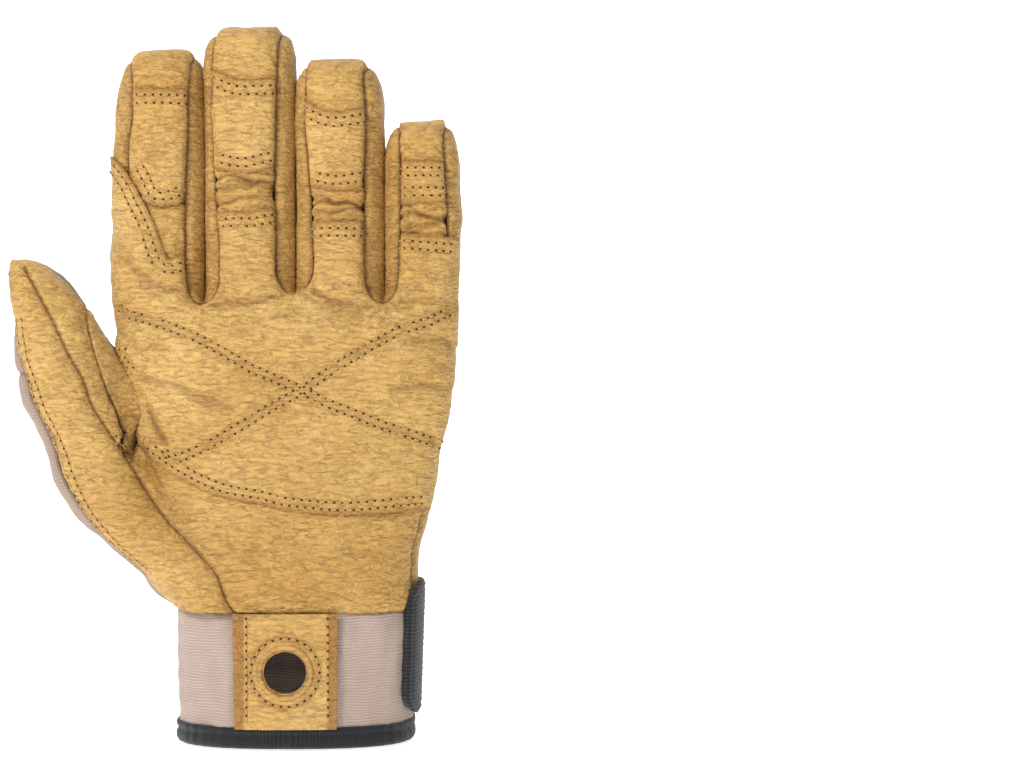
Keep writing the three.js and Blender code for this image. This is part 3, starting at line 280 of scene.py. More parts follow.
PATCH_COLUMNS = "across stub lower upper"
FINGER_PATCHES = {
    "index": table(PATCH_COLUMNS, [
        (0.0, 0.58, 0.54, 0.833),
        (0.17, 0.527, 0.48, 0.833),
        (0.3, 0.475, 0.42, 0.833),
        (0.4, 0.42, 0.392, 0.833),
        (0.56, 0.325, 0.375, 0.833),
        (0.77, 0.17, 0.378, 0.833),
        (1.0, 0.19, 0.398, 0.833),
    ]),
    "middle": table(PATCH_COLUMNS, [
        (0.0, 0.322, 0.48, 0.836),
        (0.5, 0.322, 0.46, 0.791),
        (1.0, 0.34, 0.484, 0.797),
    ]),
    "ring": table(PATCH_COLUMNS, [
        (0.0, 0.327, 0.472, 0.824),
        (0.5, 0.327, 0.452, 0.77),
        (1.0, 0.327, 0.468, 0.79),
    ]),
    "little": table(PATCH_COLUMNS, [
        (0.0, 0.37, 0.537, 0.759),
        (1.0, 0.35, 0.537, 0.759),
    ]),
}
THUMB_FORM = table("at out width lean depth seam cloth", [
    (0.0, 0.0, 1.15, 0.0, 1.5, 0.2, 0.2),
    (0.04, 0.12, 1.17, 0.0, 1.5, 0.36, 0.25),
    (0.11, 0.25, 1.18, 0.06, 1.46, 0.54, 0.35),
    (0.19, 0.46, 1.18, 0.14, 1.42, 0.7, 0.6),
    (0.29, 0.68, 1.16, 0.26, 1.34, 0.76, 1.0),
    (0.38, 0.77, 1.12, 0.38, 1.26, 0.72, 1.0),
    (0.48, 0.84, 1.08, 0.5, 1.18, 0.62, 0.95),
    (0.6, 0.95, 1.12, 0.66, 1.1, 0.42, 0.85),
    (0.66, 0.965, 1.08, 0.73, 1.06, 0.38, 0.6),
    (0.72, 0.98, 1.0, 0.8, 1.02, 0.3, 0.35),
    (0.75, 0.98, 0.94, 0.83, 1.0, 0.28, 0.25),
    (0.82, 0.975, 0.8, 0.9, 0.94, 0.2, 0.1),
    (0.91, 0.99, 0.64, 0.97, 0.84, 0.02, 0.08),
    (0.96, 1.0, 0.47, 1.0, 0.76, 0.0, 0.08),
    (0.985, 0.995, 0.34, 1.01, 0.72, 0.0, 0.08),
    (1.0, 0.99, 0.18, 1.02, 0.7, 0.0, 0.08),
])
PALM_FORM = table("at left right flatten front back", [
    (0.0, 0.0, 0.0, 0.0, 1.0, 1.0),
    (0.08, 0.04, -0.03, 0.12, 1.0, 1.0),
    (0.18, 0.13, 0.01, 0.34, 1.0, 1.0),
    (0.27, 0.19, 0.2, 0.52, 1.0, 1.0),
    (0.37, 0.4, 0.4, 0.72, 0.98, 1.0),
    (0.52, 0.64, 0.57, 0.95, 0.94, 1.0),
    (0.62, 0.78, 0.73, 1.0, 0.92, 1.0),
    (0.73, 0.88, 0.83, 1.0, 0.95, 1.0),
    (0.82, 0.9, 0.9, 1.0, 1.0, 1.0),
    (0.9, 0.9, 0.92, 1.0, 0.98, 0.9),
    (1.0, 0.9, 0.9, 1.0, 0.8, 0.6),
    (1.06, 0.9, 0.92, 1.0, 0.5, 0.3),
    (1.12, 0.9, 0.92, 1.0, 0.0, 0.0),
])
PALM_PATCH_EDGE = table("across height", [
    (0.0, 0.568), (0.053, 0.494), (0.118, 0.434), (0.196, 0.387), (0.267, 0.362),
    (0.372, 0.345), (0.48, 0.322), (0.707, 0.307), (0.918, 0.319), (1.0, 0.324),
])["height"]


@dataclass(frozen=True)
class Finger:
    """One finger: its sizes, the place of its middle, and the crotches on its two sides."""

    name: str
    length: float
    width: float
    depth: float
    tip: float
    curl: float
    x: float
    crotch_left: tuple[float, float] | None
    crotch_right: tuple[float, float] | None

    @property
    def top(self) -> float:
        """Height of the fingertip."""
        return CROTCH_LINE + self.length

    @property
    def form(self) -> dict[str, Curve]:
        """Shares of the finger's sizes along its length."""
        return FINGER_FORMS[self.name]

    @property
    def patch(self) -> dict[str, Curve]:
        """Edges of its patches."""
        return FINGER_PATCHES[self.name]

    def at(self, z: Array) -> Array:
        """Share of the finger's length at height z."""
        return (z - CROTCH_LINE) / self.length

    def seam_x(self, side: int, z: Array) -> Array:
        """Place in x of the front or back seam on that side."""
        share = self.form["seam_left" if side < 0 else "seam_right"](self.at(z))
        return self.x + side * share * self.width / 2

    def crotch(self, side: int) -> tuple[float, float] | None:
        """The crotch on that side as (x, z)."""
        return self.crotch_left if side < 0 else self.crotch_right


def make_fingers() -> list[Finger]:
    """Fingers side by side across the knuckles, from the index finger on."""
    sizes = [
        ("index", 77.3, 27.8, 24.5, 9.0, 5.0, 0.0),
        ("middle", 84.7, 27.2, 24.5, 9.0, 6.0, 2.8),
        ("ring", 74.6, 26.5, 23.5, 9.0, 6.0, 0.0),
        ("little", 56.4, 22.9, 21.0, 8.0, 4.0, 0.0),
    ]
    whole = sum(s[2] for s in sizes) + 3 * FINGER_GAP
    left = KNUCKLE_SHIFT - whole / 2
    fingers: list[Finger] = []
    before = None
    for i, (name, length, width, depth, tip, curl, rise) in enumerate(sizes):
        x = left + width / 2
        after = (x + (width + FINGER_GAP) / 2, CROTCH_LINE + rise) if i < 3 else None
        fingers.append(Finger(name, length, width, depth, tip, curl, x, before, after))
        left += width + FINGER_GAP
        before = after
    return fingers


FINGERS = make_fingers()
KNUCKLE_LEFT = FINGERS[0].x - FINGERS[0].width / 2
KNUCKLE_RIGHT = FINGERS[-1].x + FINGERS[-1].width / 2


class Skin(Enum):
    """Which parts of the hand a piece of skin belongs to."""

    BOTH = "both"
    THUMB = "thumb"
    HAND = "hand"
    PALM = "palm"
    THUMB_SIDE = "thumb side"
    BACK_SIDE = "back side"


@dataclass
class Section:
    """Cuts through one part of the hand at an array of heights."""

    left: Array
    right: Array
    plane: Array
    front: Array
    back: Array
    power: Array | float
    valid: Array
    soft: float


@dataclass(frozen=True)
class HandForm:
    """The glove's form: sections of palm, thumb and fingers, and the skin that joins them softly."""

    fingers: list[Finger]

    @staticmethod
    def tip_round(top: float, tip: float, z: Array) -> Array:
        """Depth left in a round tip: a quarter circle over the tip's length."""
        over = np.clip((z - (top - tip)) / tip, 0, 1)
        return np.sqrt(1 - over * over)

    def finger(self, f: Finger, z: Array) -> Section:
        """Section of a finger. Below the crotch line it fades into the palm.

        Args:
            f: the finger.
            z: heights.

        Returns:
            The section at each height.
        """
        at = f.at(z)
        fade = np.where(z > CUFF_TOP + PALM_LENGTH / 2, ease((z - (CROTCH_LINE - 22)) / 26), 1)
        depth = f.depth / 2 * self.tip_round(f.top, f.tip, z) * fade
        return Section(
            f.x - f.width / 2 * f.form["left"](at), f.x + f.width / 2 * f.form["right"](at),
            -f.curl * np.maximum(0, at) ** 2, depth * f.form["front"](at), depth * f.form["back"](at),
            FINGER_POWER, (z > CROTCH_LINE - 0.25 * f.length) & (z <= f.top), FINGER_VALLEY,
        )

    def thumb(self, z: Array) -> Section:
        """Section of the thumb, which leans forward towards its tip.

        Args:
            z: heights.

        Returns:
            The section at each height.
        """
        at = (z - CUFF_TOP) / THUMB_LENGTH
        left = -CUFF_WIDTH / 2 - THUMB_REACH * THUMB_FORM["out"](at)
        forward = THUMB_FORWARD * THUMB_FORM["lean"](at)
        free = ease((at - 0.6) / 0.3)
        depth = THUMB_DEPTH / 2 * THUMB_FORM["depth"](at) * self.tip_round(THUMB_TOP, THUMB_TIP, z)
        return Section(
            left, left + THUMB_WIDTH * THUMB_FORM["width"](at), -forward * free,
            depth + forward * (1 - free), depth - forward * (1 - free), 2.2,
            (z > CUFF_TOP) & (z <= THUMB_TOP), THUMB_VALLEY,
        )

    def palm(self, z: Array) -> Section:
        """Section of the palm, from the cuff's shape to the knuckles'.

        Args:
            z: heights.

        Returns:
            The section at each height.
        """
        at = (z - CUFF_TOP) / PALM_LENGTH
        flat = PALM_FORM["flatten"](at)
        half = mix(CUFF_DEPTH, PALM_DEPTH, flat) / 2
        return Section(
            mix(-CUFF_WIDTH / 2, KNUCKLE_LEFT, PALM_FORM["left"](at)),
            mix(CUFF_WIDTH / 2, KNUCKLE_RIGHT, PALM_FORM["right"](at)),
            np.zeros_like(z), half * PALM_FORM["front"](at), half * PALM_FORM["back"](at),
            mix(CUFF_POWER, PALM_POWER, flat), z < CROTCH_LINE + 0.12 * PALM_LENGTH, THUMB_VALLEY,
        )

    def skin_y(self, x: Array, z: Array, face: int, skin: Skin = Skin.BOTH) -> Array:
        """Distance of the skin from the hand's middle plane.

        Each section gives its superellipse's height, with a skirt that falls outside it. They are joined
        by a polynomial soft union: the mix of the two heights by their nearness, plus the softness times
        the nearness times one less it.

        Args:
            x: places across the hand.
            z: heights.
            face: -1 for the palm side and 1 for the back.
            skin: the parts of the hand that count.

        Returns:
            The place in y of each point of the skin.
        """
        x, z = np.broadcast_arrays(np.asarray(x, float), np.asarray(z, float))
        if skin in (Skin.PALM, Skin.THUMB_SIDE, Skin.BACK_SIDE):
            whole = self.skin_y(x, z, face, Skin.BOTH)
            if skin is Skin.THUMB_SIDE:
                return mix(whole, self.skin_y(x, z, face, Skin.THUMB), ease((z - WEB_FOOT + 5) / 10))
            alone = self.skin_y(x, z, face, Skin.HAND)
            if skin is Skin.BACK_SIDE:
                bottom = web_point(1, BACK_SHARE)[1]
                return mix(whole, alone, ease((z - bottom + 8) / 10))
            return mix(whole, alone, hand_share(x, z))
        sections = []
        if skin is not Skin.HAND:
            sections.append(self.thumb(z))
        if skin is not Skin.THUMB:
            sections.append(self.palm(z))
            sections.extend(self.finger(f, z) for f in self.fingers)
        height = np.full(x.shape, -np.inf)
        nearest = np.full(x.shape, np.inf)
        plane = np.zeros(x.shape)
        for s in sections:
            half = (s.right - s.left) / 2
            q = (x - (s.left + s.right) / 2) / half
            closer = s.valid & (np.abs(q) < nearest)
            nearest = np.where(closer, np.abs(q), nearest)
            plane = np.where(closer, face * s.plane, plane)
            skirt = SKIRT_SLOPE * np.maximum(0, np.abs(q) - 1) * half
            h = face * s.plane + (s.front if face < 0 else s.back) * arch(q, s.power) - skirt
            first = ~np.isfinite(height)
            base = np.where(first, 0, height)
            near = np.clip(0.5 + (h - base) / (2 * s.soft), 0, 1)
            joined = np.where(first, h, mix(base, h, near) + s.soft * near * (1 - near))
            height = np.where(s.valid, joined, height)
        return face * np.where(nearest < 1, height, plane)

    def points(self, x: Array, z: Array, face: int, skin: Skin = Skin.BOTH) -> Array:
        """Points of the skin at places x and heights z, as an array with x, y and z last."""
        x, z = np.broadcast_arrays(np.asarray(x, float), np.asarray(z, float))
        return np.stack([x, self.skin_y(x, z, face, skin), z], axis=-1)

    def edge_x(self, z: Array, side: int) -> Array:
        """Outline of the hand without the thumb, on one side.

        Args:
            z: heights.
            side: -1 for the left and 1 for the right.

        Returns:
            The outline's x.
        """
        sections = [self.palm(z), *(self.finger(f, z) for f in self.fingers)]
        ends = [np.where(s.valid, s.left if side < 0 else s.right, -side * 1e3) for s in sections]
        return np.min(ends, axis=0) if side < 0 else np.max(ends, axis=0)

    def outer_seam_x(self, side: int, z: Array, face: int) -> Array:
        """Seam beside the side strip on the hand's outer edge.

        Args:
            side: -1 for the left and 1 for the right.
            z: heights.
            face: -1 for the palm side and 1 for the back.

        Returns:
            The seam's x.
        """
        finger = self.fingers[0 if side < 0 else -1]
        inset = EDGE_INSET * (0.25 if side > 0 and face < 0 else 1)
        on_hand = self.edge_x(z, side) - side * inset
        return mix(on_hand, finger.seam_x(side, z), ease((z - CROTCH_LINE + 2) / 25))


FORM = HandForm(FINGERS)


def web_point(across: Array, up: Array) -> tuple[Array, Array]:
    """Line of the web's seams, as (x, z): across 0 is the thumb's side and 1 the palm's.

    Args:
        across: share of the way from the thumb's side to the palm's.
        up: share of the web's height.

    Returns:
        The point's x and z.
    """
    foot_x = -CUFF_WIDTH / 2 - 0.243 * THUMB_REACH
    height = mix(WEB_TOP, WEB_NOTCH, across)
    s = FORM.thumb(np.asarray(CUFF_TOP + height, float))
    bow = 4 * up * (1 - up) * mix(-0.9, 4.6, across)
    x = mix(foot_x + WEB_HALF_FOOT * (2 * across - 1), s.right, up) + bow
    return x, WEB_FOOT + up * (height - WEB_BOTTOM)


def web_x(across: float, z: Array) -> Array:
    """Place in x of one of the web's seams at height z."""
    span = mix(WEB_TOP, WEB_NOTCH, across) - WEB_BOTTOM
    return web_point(across, np.clip((z - WEB_FOOT) / span, 0, 1))[0]


def thumb_seam_x(z: Array) -> Array:
    """The thumb's long front seam."""
    s = FORM.thumb(z)
    return mix((s.left + s.right) / 2, s.right, THUMB_FORM["seam"]((z - CUFF_TOP) / THUMB_LENGTH))


def thumb_leather_x(z: Array) -> Array:
    """Front edge of the thumb's leather, beside the cloth."""
    return FORM.thumb(z).left + THUMB_CLOTH * THUMB_FORM["cloth"]((z - CUFF_TOP) / THUMB_LENGTH)


def hand_share(x: Array, z: Array) -> Array:
    """Share by which the palm's leather has come down from the thumb's mound to the hand.

    Args:
        x: places along x.
        z: heights.

    Returns:
        0 on the thumb's mound and 1 on the hand.
    """
    rising = ease((z - WEB_FOOT + WEB_MOUND) / WEB_MOUND)
    beside = ease((x - thumb_seam_x(z)) / WEB_MOUND)
    inner = rising * mix(beside, 1, np.clip(1 - (WEB_FOOT - z) / WEB_JOG, 0, 1))
    return np.where(z >= WEB_FOOT, 1, inner)


def palm_left_x(z: Array) -> Array:
    """Left border of the palm: the thumb's long seam, then the web, then the hand's outer seam.

    Args:
        z: heights.

    Returns:
        The border's x.
    """
    share = np.clip(1 - (WEB_FOOT - z) / WEB_JOG, 0, 1)
    low = mix(thumb_seam_x(z), web_x(1, np.full_like(z, WEB_FOOT)), share)
    notch = CUFF_TOP + WEB_NOTCH
    high = mix(web_x(1, z), FORM.outer_seam_x(-1, z, -1), np.clip((z - notch) / NOTCH_BLEND, 0, 1))
    return np.where(z < WEB_FOOT, low, np.where(z < notch, web_x(1, z), high))


def cuff_points(degrees: Array, z: Array, out: Array = 0.0) -> Array:
    """Points round the cuff: a superellipse that tapers downwards, moved out along its own normal.

    Args:
        degrees: angle from the palm side towards the little-finger side.
        z: heights.
        out: distance out of the cuff's face.

    Returns:
        Points with x, y and z last.
    """
    a, z, out = np.broadcast_arrays(np.radians(degrees), np.asarray(z, float), np.asarray(out, float))
    sin, cos = np.sin(a), np.cos(a)
    half = CUFF_WIDTH / 2 - CUFF_TAPER * (1 - z / CUFF_TOP)
    deep = half * (CUFF_DEPTH / CUFF_WIDTH)
    x = np.sign(sin) * np.abs(sin) ** (2 / CUFF_POWER)
    y = -np.sign(cos) * np.abs(cos) ** (2 / CUFF_POWER)
    slope_x = np.sign(x) * np.abs(x) ** (CUFF_POWER - 1) / half
    slope_y = np.sign(y) * np.abs(y) ** (CUFF_POWER - 1) / deep
    size = np.hypot(slope_x, slope_y)
    return np.stack([half * x + out * slope_x / size, deep * y + out * slope_y / size, z], axis=-1)


def cuff_angle(x: Array) -> Array:
    """Angle round the cuff's palm side at a place in x, in degrees."""
    share = np.abs(x) / (CUFF_WIDTH / 2 - CUFF_TAPER / 2)
    return np.degrees(np.sign(x) * np.arcsin(np.clip(share, 0, 1) ** (CUFF_POWER / 2)))


def line_distance(points: Array, path: Array) -> Array:
    """Distance in x and z from each point to a path of straight pieces.

    Args:
        points: array with x, y and z last, one row to a point.
        path: corners of the path as (x, z).

    Returns:
        The least distance for each point.
    """
    p = points[:, None, [0, 2]]
    a, b = path[None, :-1], path[None, 1:]
    along = b - a
    t = np.clip(((p - a) * along).sum(-1) / (along * along).sum(-1), 0, 1)
    return np.linalg.norm(p - (a + along * t[..., None]), axis=-1).min(axis=1)


def groove(distance: Array, width: float) -> Array:
    """Bell of height 1 and the given width: e to minus the square of distance over width."""
    return np.exp(-((distance / width) ** 2))


@dataclass
class Waves:
    """Smooth irregular field: a sum of plane waves of chance directions and phases.

    The seed fixes the chance values, and the length is the typical wavelength along x, y and z.
    """

    seed: int
    length: tuple[float, float, float]
    count: int = 14
    k: Array = field(init=False)
    phase: Array = field(init=False)
    scale: float = field(init=False)

    def __post_init__(self) -> None:
        """Draws the waves."""
        chance = np.random.default_rng(SEED * 1000 + self.seed)
        turn = chance.normal(size=(self.count, 3))
        self.k = 2 * math.pi * turn / np.array(self.length) / 1.6
        self.phase = chance.uniform(0, 2 * math.pi, self.count)
        self.scale = math.sqrt(2 / self.count)

    def __call__(self, points: Array) -> Array:
        """Value at each point, about -1 to 1."""
        return self.scale * np.sin(points @ self.k.T + self.phase).sum(axis=-1)


@dataclass
class Shell:
    """A piece's outer surface: points, directions out of the glove, triangles and distance to its border."""

    points: Array
    normals: Array
    triangles: Array
    border: Array
    distance: Array
    shade: Array
    flow: Array
    raw: Array

    @staticmethod
    def normals_of(points: Array, triangles: Array) -> Array:
        """Normals of a mesh: each is the sum of the cross products of the triangles round it.

        Args:
            points: one row to a point.
            triangles: numbers of each triangle's corners.

        Returns:
            One unit normal to a point.
        """
        a, b, c = (points[triangles[:, i]] for i in range(3))
        face = np.cross(b - a, c - a)
        normals = np.zeros_like(points)
        for i in range(3):
            np.add.at(normals, triangles[:, i], face)
        return normals / np.maximum(np.linalg.norm(normals, axis=1, keepdims=True), 1e-12)

    @staticmethod
    def smoothed(normals: Array, triangles: Array, rounds: int) -> Array:
        """Normals with each one averaged with its neighbours'.

        Args:
            normals: one to a point.
            triangles: numbers of each triangle's corners.
            rounds: how many times.

        Returns:
            The new unit normals.
        """
        for _ in range(rounds):
            total = 0.5 * normals
            for i in range(3):
                np.add.at(total, triangles[:, i], normals[triangles[:, (i + 1) % 3]])
            normals = total / np.maximum(np.linalg.norm(total, axis=1), 1e-9)[:, None]
        return normals

    @classmethod
    def from_grids(
        cls, grids: list[Array], outward: "Array | Callable[[Array], Array]", flows: list[Array] | None = None
    ) -> "Shell":
        """Joins grids that share border points into one surface.

        Args:
            grids: arrays of points, rows by columns by x, y and z.
            outward: a direction that most of the surface faces, or a function that gives it at each point.
            flows: place of each point along and across the cloth, if not x and z.

        Returns:
            The joined surface, with no relief.
        """
        flat = np.concatenate([g.reshape(-1, 3) for g in grids])
        flow = np.concatenate([f.reshape(-1, 2) for f in flows]) if flows else flat[:, [0, 2]]
        cells = np.round(flat * WELD_CELLS).astype(np.int64)
        _, first, number = np.unique(cells, axis=0, return_index=True, return_inverse=True)
        number = number.ravel()
        faces = []
        start = 0
        for g in grids:
            rows, columns = g.shape[:2]
            i = start + np.arange(rows * columns).reshape(rows, columns)
            a, b, c, d = (v.ravel() for v in (i[:-1, :-1], i[:-1, 1:], i[1:, 1:], i[1:, :-1]))
            faces += [np.stack([a, b, c], 1), np.stack([a, c, d], 1)]
            start += rows * columns
        triangles = number[np.concatenate(faces)]
        triangles = triangles[(triangles != np.roll(triangles, -1, axis=1)).all(axis=1)]
        points = flat[first]
        normals = cls.normals_of(points, triangles)
        toward = outward(points) if callable(outward) else outward
        if (normals * toward).sum() < 0:
            triangles = triangles[:, ::-1]
            normals = -normals
        normals = cls.smoothed(normals, triangles, 4)
        size = len(points)
        edges = np.concatenate([triangles[:, [0, 1]], triangles[:, [1, 2]], triangles[:, [2, 0]]])
        key = edges[:, 0] * size + edges[:, 1]
        reverse = edges[:, 1] * size + edges[:, 0]
        border = edges[~np.isin(key, reverse)]
        distance = cls.distance_to(points, points[np.unique(border)])
        return cls(points, normals, triangles, border, distance, np.zeros(size), flow[first], np.zeros(size))

    @staticmethod
    def distance_to(points: Array, targets: Array) -> Array:
        """Least distance from each point to any target.

        Args:
            points: one row to a point.
            targets: one row to a target.

        Returns:
            One distance to a point.
        """
        square = (targets * targets).sum(1)
        found = []
        for block in np.array_split(points, max(1, len(points) // BLOCK)):
            apart = (block * block).sum(1)[:, None] + square - 2 * block @ targets.T
            found.append(np.sqrt(np.maximum(0, apart).min(axis=1)))
        return np.concatenate(found)

    def raise_by(self, height: Array) -> None:
        """Moves the surface out by a height at each point, and finds its new normals."""
        self.points = self.points + self.normals * np.broadcast_to(height, (len(self.points),))[:, None]
        self.normals = self.normals_of(self.points, self.triangles)

    def project(self, path: Array, face: int) -> tuple[Array, Array, Array]:
        """Puts a path given in x and z onto the surface.

        Each point takes the plane of the nearest vertex that faces that side.

        Args:
            path: places as (x, z).
            face: -1 for the palm side and 1 for the back.

        Returns:
            Points and normals along the path, and each point's distance from the nearest vertex in x and z.
        """
        facing = np.flatnonzero(self.normals[:, 1] * face > 0.12)
        spots = self.points[facing][:, [0, 2]]
        square = ((path[:, None, :] - spots[None]) ** 2).sum(-1)
        apart = np.sqrt(square.min(axis=1))
        nearest = facing[square.argmin(axis=1)]
        p, n = self.points[nearest], self.normals[nearest]
        shift = path - p[:, [0, 2]]
        y = p[:, 1] - (shift[:, 0] * n[:, 0] + shift[:, 1] * n[:, 2]) / n[:, 1]
        return np.stack([path[:, 0], y, path[:, 1]], 1), n, apart


def new_mesh(
    name: str, points: Array, faces: Array, attributes: dict[str, Array] | None = None
) -> bpy.types.Object:
    """Makes a mesh object from arrays in millimetres.

    Args:
        name: the object's name.
        points: one row to a point.
        faces: one row to a face, all with as many corners.
        attributes: values to store at each point, one number or three.

    Returns:
        The object, at the origin and smooth shaded.
    """
    mesh = bpy.data.meshes.new(name)
    count, corners = faces.shape
    mesh.vertices.add(len(points))
    mesh.vertices.foreach_set("co", (points * MM).astype(np.float32).ravel())
    mesh.loops.add(count * corners)
    mesh.loops.foreach_set("vertex_index", faces.astype(np.int32).ravel())
    mesh.polygons.add(count)
    mesh.polygons.foreach_set("loop_start", np.arange(0, count * corners, corners, dtype=np.int32))
    mesh.polygons.foreach_set("use_smooth", np.ones(count, bool))
    mesh.update(calc_edges=True)
    mesh.validate()
    for key, value in (attributes or {}).items():
        kind = "FLOAT" if value.ndim == 1 else "FLOAT_VECTOR"
        layer = mesh.attributes.new(key, kind, "POINT")
        layer.data.foreach_set("value" if value.ndim == 1 else "vector", value.astype(np.float32).ravel())
    obj = bpy.data.objects.new(name, mesh)
    bpy.context.scene.collection.objects.link(obj)
    return obj


def leather_body(
    name: str, shell: Shell, wall: float, finish: "Finish", rim: "Finish | None" = None
) -> bpy.types.Object:
    """Closes a surface into a wall: the outer face, the same face moved in, and a rim with its own corners.

    Args:
        name: the piece's name.
        shell: its outer surface.
        wall: its thickness.
        finish: finish of its faces.
        rim: finish of its rim, if another.

    Returns:
        The piece.
    """
    size = len(shell.points)
    inner = shell.points - Shell.smoothed(shell.normals, shell.triangles, 10) * wall
    low, high = shell.points.min(axis=0), shell.points.max(axis=0)
    inner = np.clip(inner, low + INNER_MARGIN, high - INNER_MARGIN)
    u, v = shell.border[:, 0], shell.border[:, 1]
    k = len(shell.border)
    rim_points = np.concatenate([shell.points[u], shell.points[v], inner[v], inner[u]])
    base = 2 * size + np.arange(k)
    quads = np.stack([base + k, base, base + 3 * k, base + 2 * k], 1)
    rim_faces = np.concatenate([quads[:, [0, 1, 2]], quads[:, [0, 2, 3]]])
    faces = np.concatenate([shell.triangles, shell.triangles[:, ::-1] + size, rim_faces])
    points = np.concatenate([shell.points, inner, rim_points])
    ends = np.concatenate([u, v, v, u])
    # Painted shade: the inner face is fully shaded, and the rim takes the shade of the border it stands on.
    shade = np.concatenate([shell.shade, np.ones(size), shell.shade[ends]])
    flow = np.concatenate([shell.flow, shell.flow, shell.flow[ends]])
    cloth = np.column_stack([flow * MM, np.zeros(len(flow))])
    raw = np.concatenate([shell.raw, np.zeros(size), shell.raw[ends]])
    obj = new_mesh(name, points, faces, {"shade": shade, "cloth": cloth, "raw": raw})
    obj.data.materials.append(finish.material())
    obj.data.materials.append((rim or finish).material())
    slots = np.zeros(len(obj.data.polygons), np.int32)
    slots[2 * len(shell.triangles):] = 1
    obj.data.polygons.foreach_set("material_index", slots)
    return obj


@dataclass
class Nodes:
    """Short way to write a material's shader."""

    name: str
    material: bpy.types.Material = field(init=False)
    tree: bpy.types.NodeTree = field(init=False)
    shader: bpy.types.Node = field(init=False)

    def __post_init__(self) -> None:
        """Makes the material with its plain shader."""
        self.material = bpy.data.materials.new(self.name)
        self.material.use_nodes = True
        self.tree = self.material.node_tree
        self.shader = self.tree.nodes["Principled BSDF"]

    def add(self, kind: str, inputs: dict[str, object] | None = None, **settings: object) -> bpy.types.Node:
        """Adds a node with settings, and sets or links its inputs.

        Args:
            kind: the node's type.
            inputs: values or outputs by the input's name.

        Returns:
            The node.
        """
        node = self.tree.nodes.new("ShaderNode" + kind)
        for key, value in settings.items():
            setattr(node, key, value)
        for key, value in (inputs or {}).items():
            self.set(node.inputs[key], value)
        return node

    def set(self, socket: bpy.types.NodeSocket, value: object) -> None:
        """Links a socket to an output, or gives it a value.

        Args:
            socket: the input.
            value: a value or an output.
        """
        if isinstance(value, bpy.types.NodeSocket):
            self.tree.links.new(value, socket)
        else:
            socket.default_value = value

    def math(self, operation: str, a: object, b: object = 0.0) -> bpy.types.NodeSocket:
        """Result of a sum on two values.

        Args:
            operation: the sum's name.
            a: the first one.
            b: the second one.

        Returns:
            The result's output.
        """
        node = self.add("Math", operation=operation)
        self.set(node.inputs[0], a)
        self.set(node.inputs[1], b)
        return node.outputs[0]

    def blend(self, share: object, a: object, b: object) -> bpy.types.NodeSocket:
        """Colour between a and b.

        Args:
            share: 0 for a and 1 for b.
            a: the first one.
            b: the second one.

        Returns:
            The colour's output.
        """
        node = self.add("Mix", data_type="RGBA")
        self.set(node.inputs[0], share)
        self.set(node.inputs[6], a)
        self.set(node.inputs[7], b)
        return node.outputs[2]

    def noise(
        self, where: object, scale: float, detail: float = 3.0, rough: float = 0.55, bent: float = 0.0
    ) -> bpy.types.NodeSocket:
        """Noise at a place, 0 to 1, bent by itself if asked."""
        inputs = {"Vector": where, "Scale": scale, "Detail": detail, "Roughness": rough, "Distortion": bent}
        return self.add("TexNoise", inputs).outputs["Fac"]

    def ramp(self, value: object, low: float, high: float) -> bpy.types.NodeSocket:
        """Share from 0 at low to 1 at high."""
        node = self.add("MapRange", {"Value": value, "From Min": low, "From Max": high})
        return node.outputs["Result"]

    def bump(
        self, height: object, distance: float, strength: float, before: object = None
    ) -> bpy.types.NodeSocket:
        """Normal bent by a height.

        Args:
            height: the relief.
            distance: its height in metres.
            strength: how much it counts, from 0 to 1.
            before: normal that it bends further, if there is one.

        Returns:
            The normal's output.
        """
        inputs = {"Height": height, "Distance": distance, "Strength": strength}
        if before is not None:
            inputs["Normal"] = before
        return self.add("Bump", inputs).outputs["Normal"]


@dataclass(frozen=True)
class Finish:
    """A surface's finish; each kind makes its own shader once."""

    name: str
    color: tuple[float, float, float]
    dark: tuple[float, float, float]
    roughness: float = 0.6

    def material(self) -> bpy.types.Material:
        """The finish's material, made on first use."""
        found = bpy.data.materials.get(self.name)
        if found:
            return found
        nodes = Nodes(self.name)
        self.build(nodes)
        return nodes.material

    def build(self, nodes: Nodes) -> None:
        """Plain finish: one colour and one roughness."""
        nodes.set(nodes.shader.inputs["Base Color"], (*self.color, 1))
        nodes.set(nodes.shader.inputs["Roughness"], self.roughness)

    @staticmethod
    def place(nodes: Nodes) -> bpy.types.NodeSocket:
        """Place on the object."""
        return nodes.add("TexCoord").outputs["Object"]

    @staticmethod
    def value(nodes: Nodes, name: str, output: str) -> bpy.types.NodeSocket:
        """Stored value of the mesh."""
        return nodes.add("Attribute", attribute_name=name).outputs[output]


@dataclass(frozen=True)
class Backdrop(Finish):
    """Pale matt backdrop that glows a little, as paper lit from behind does."""

    def build(self, nodes: Nodes) -> None:
        """One colour, one roughness and a glow.

        Args:
            nodes: writes the shader.
        """
        super().build(nodes)
        nodes.set(nodes.shader.inputs["Emission Color"], (1, 1, 1, 1))
        nodes.set(nodes.shader.inputs["Emission Strength"], 0.8)


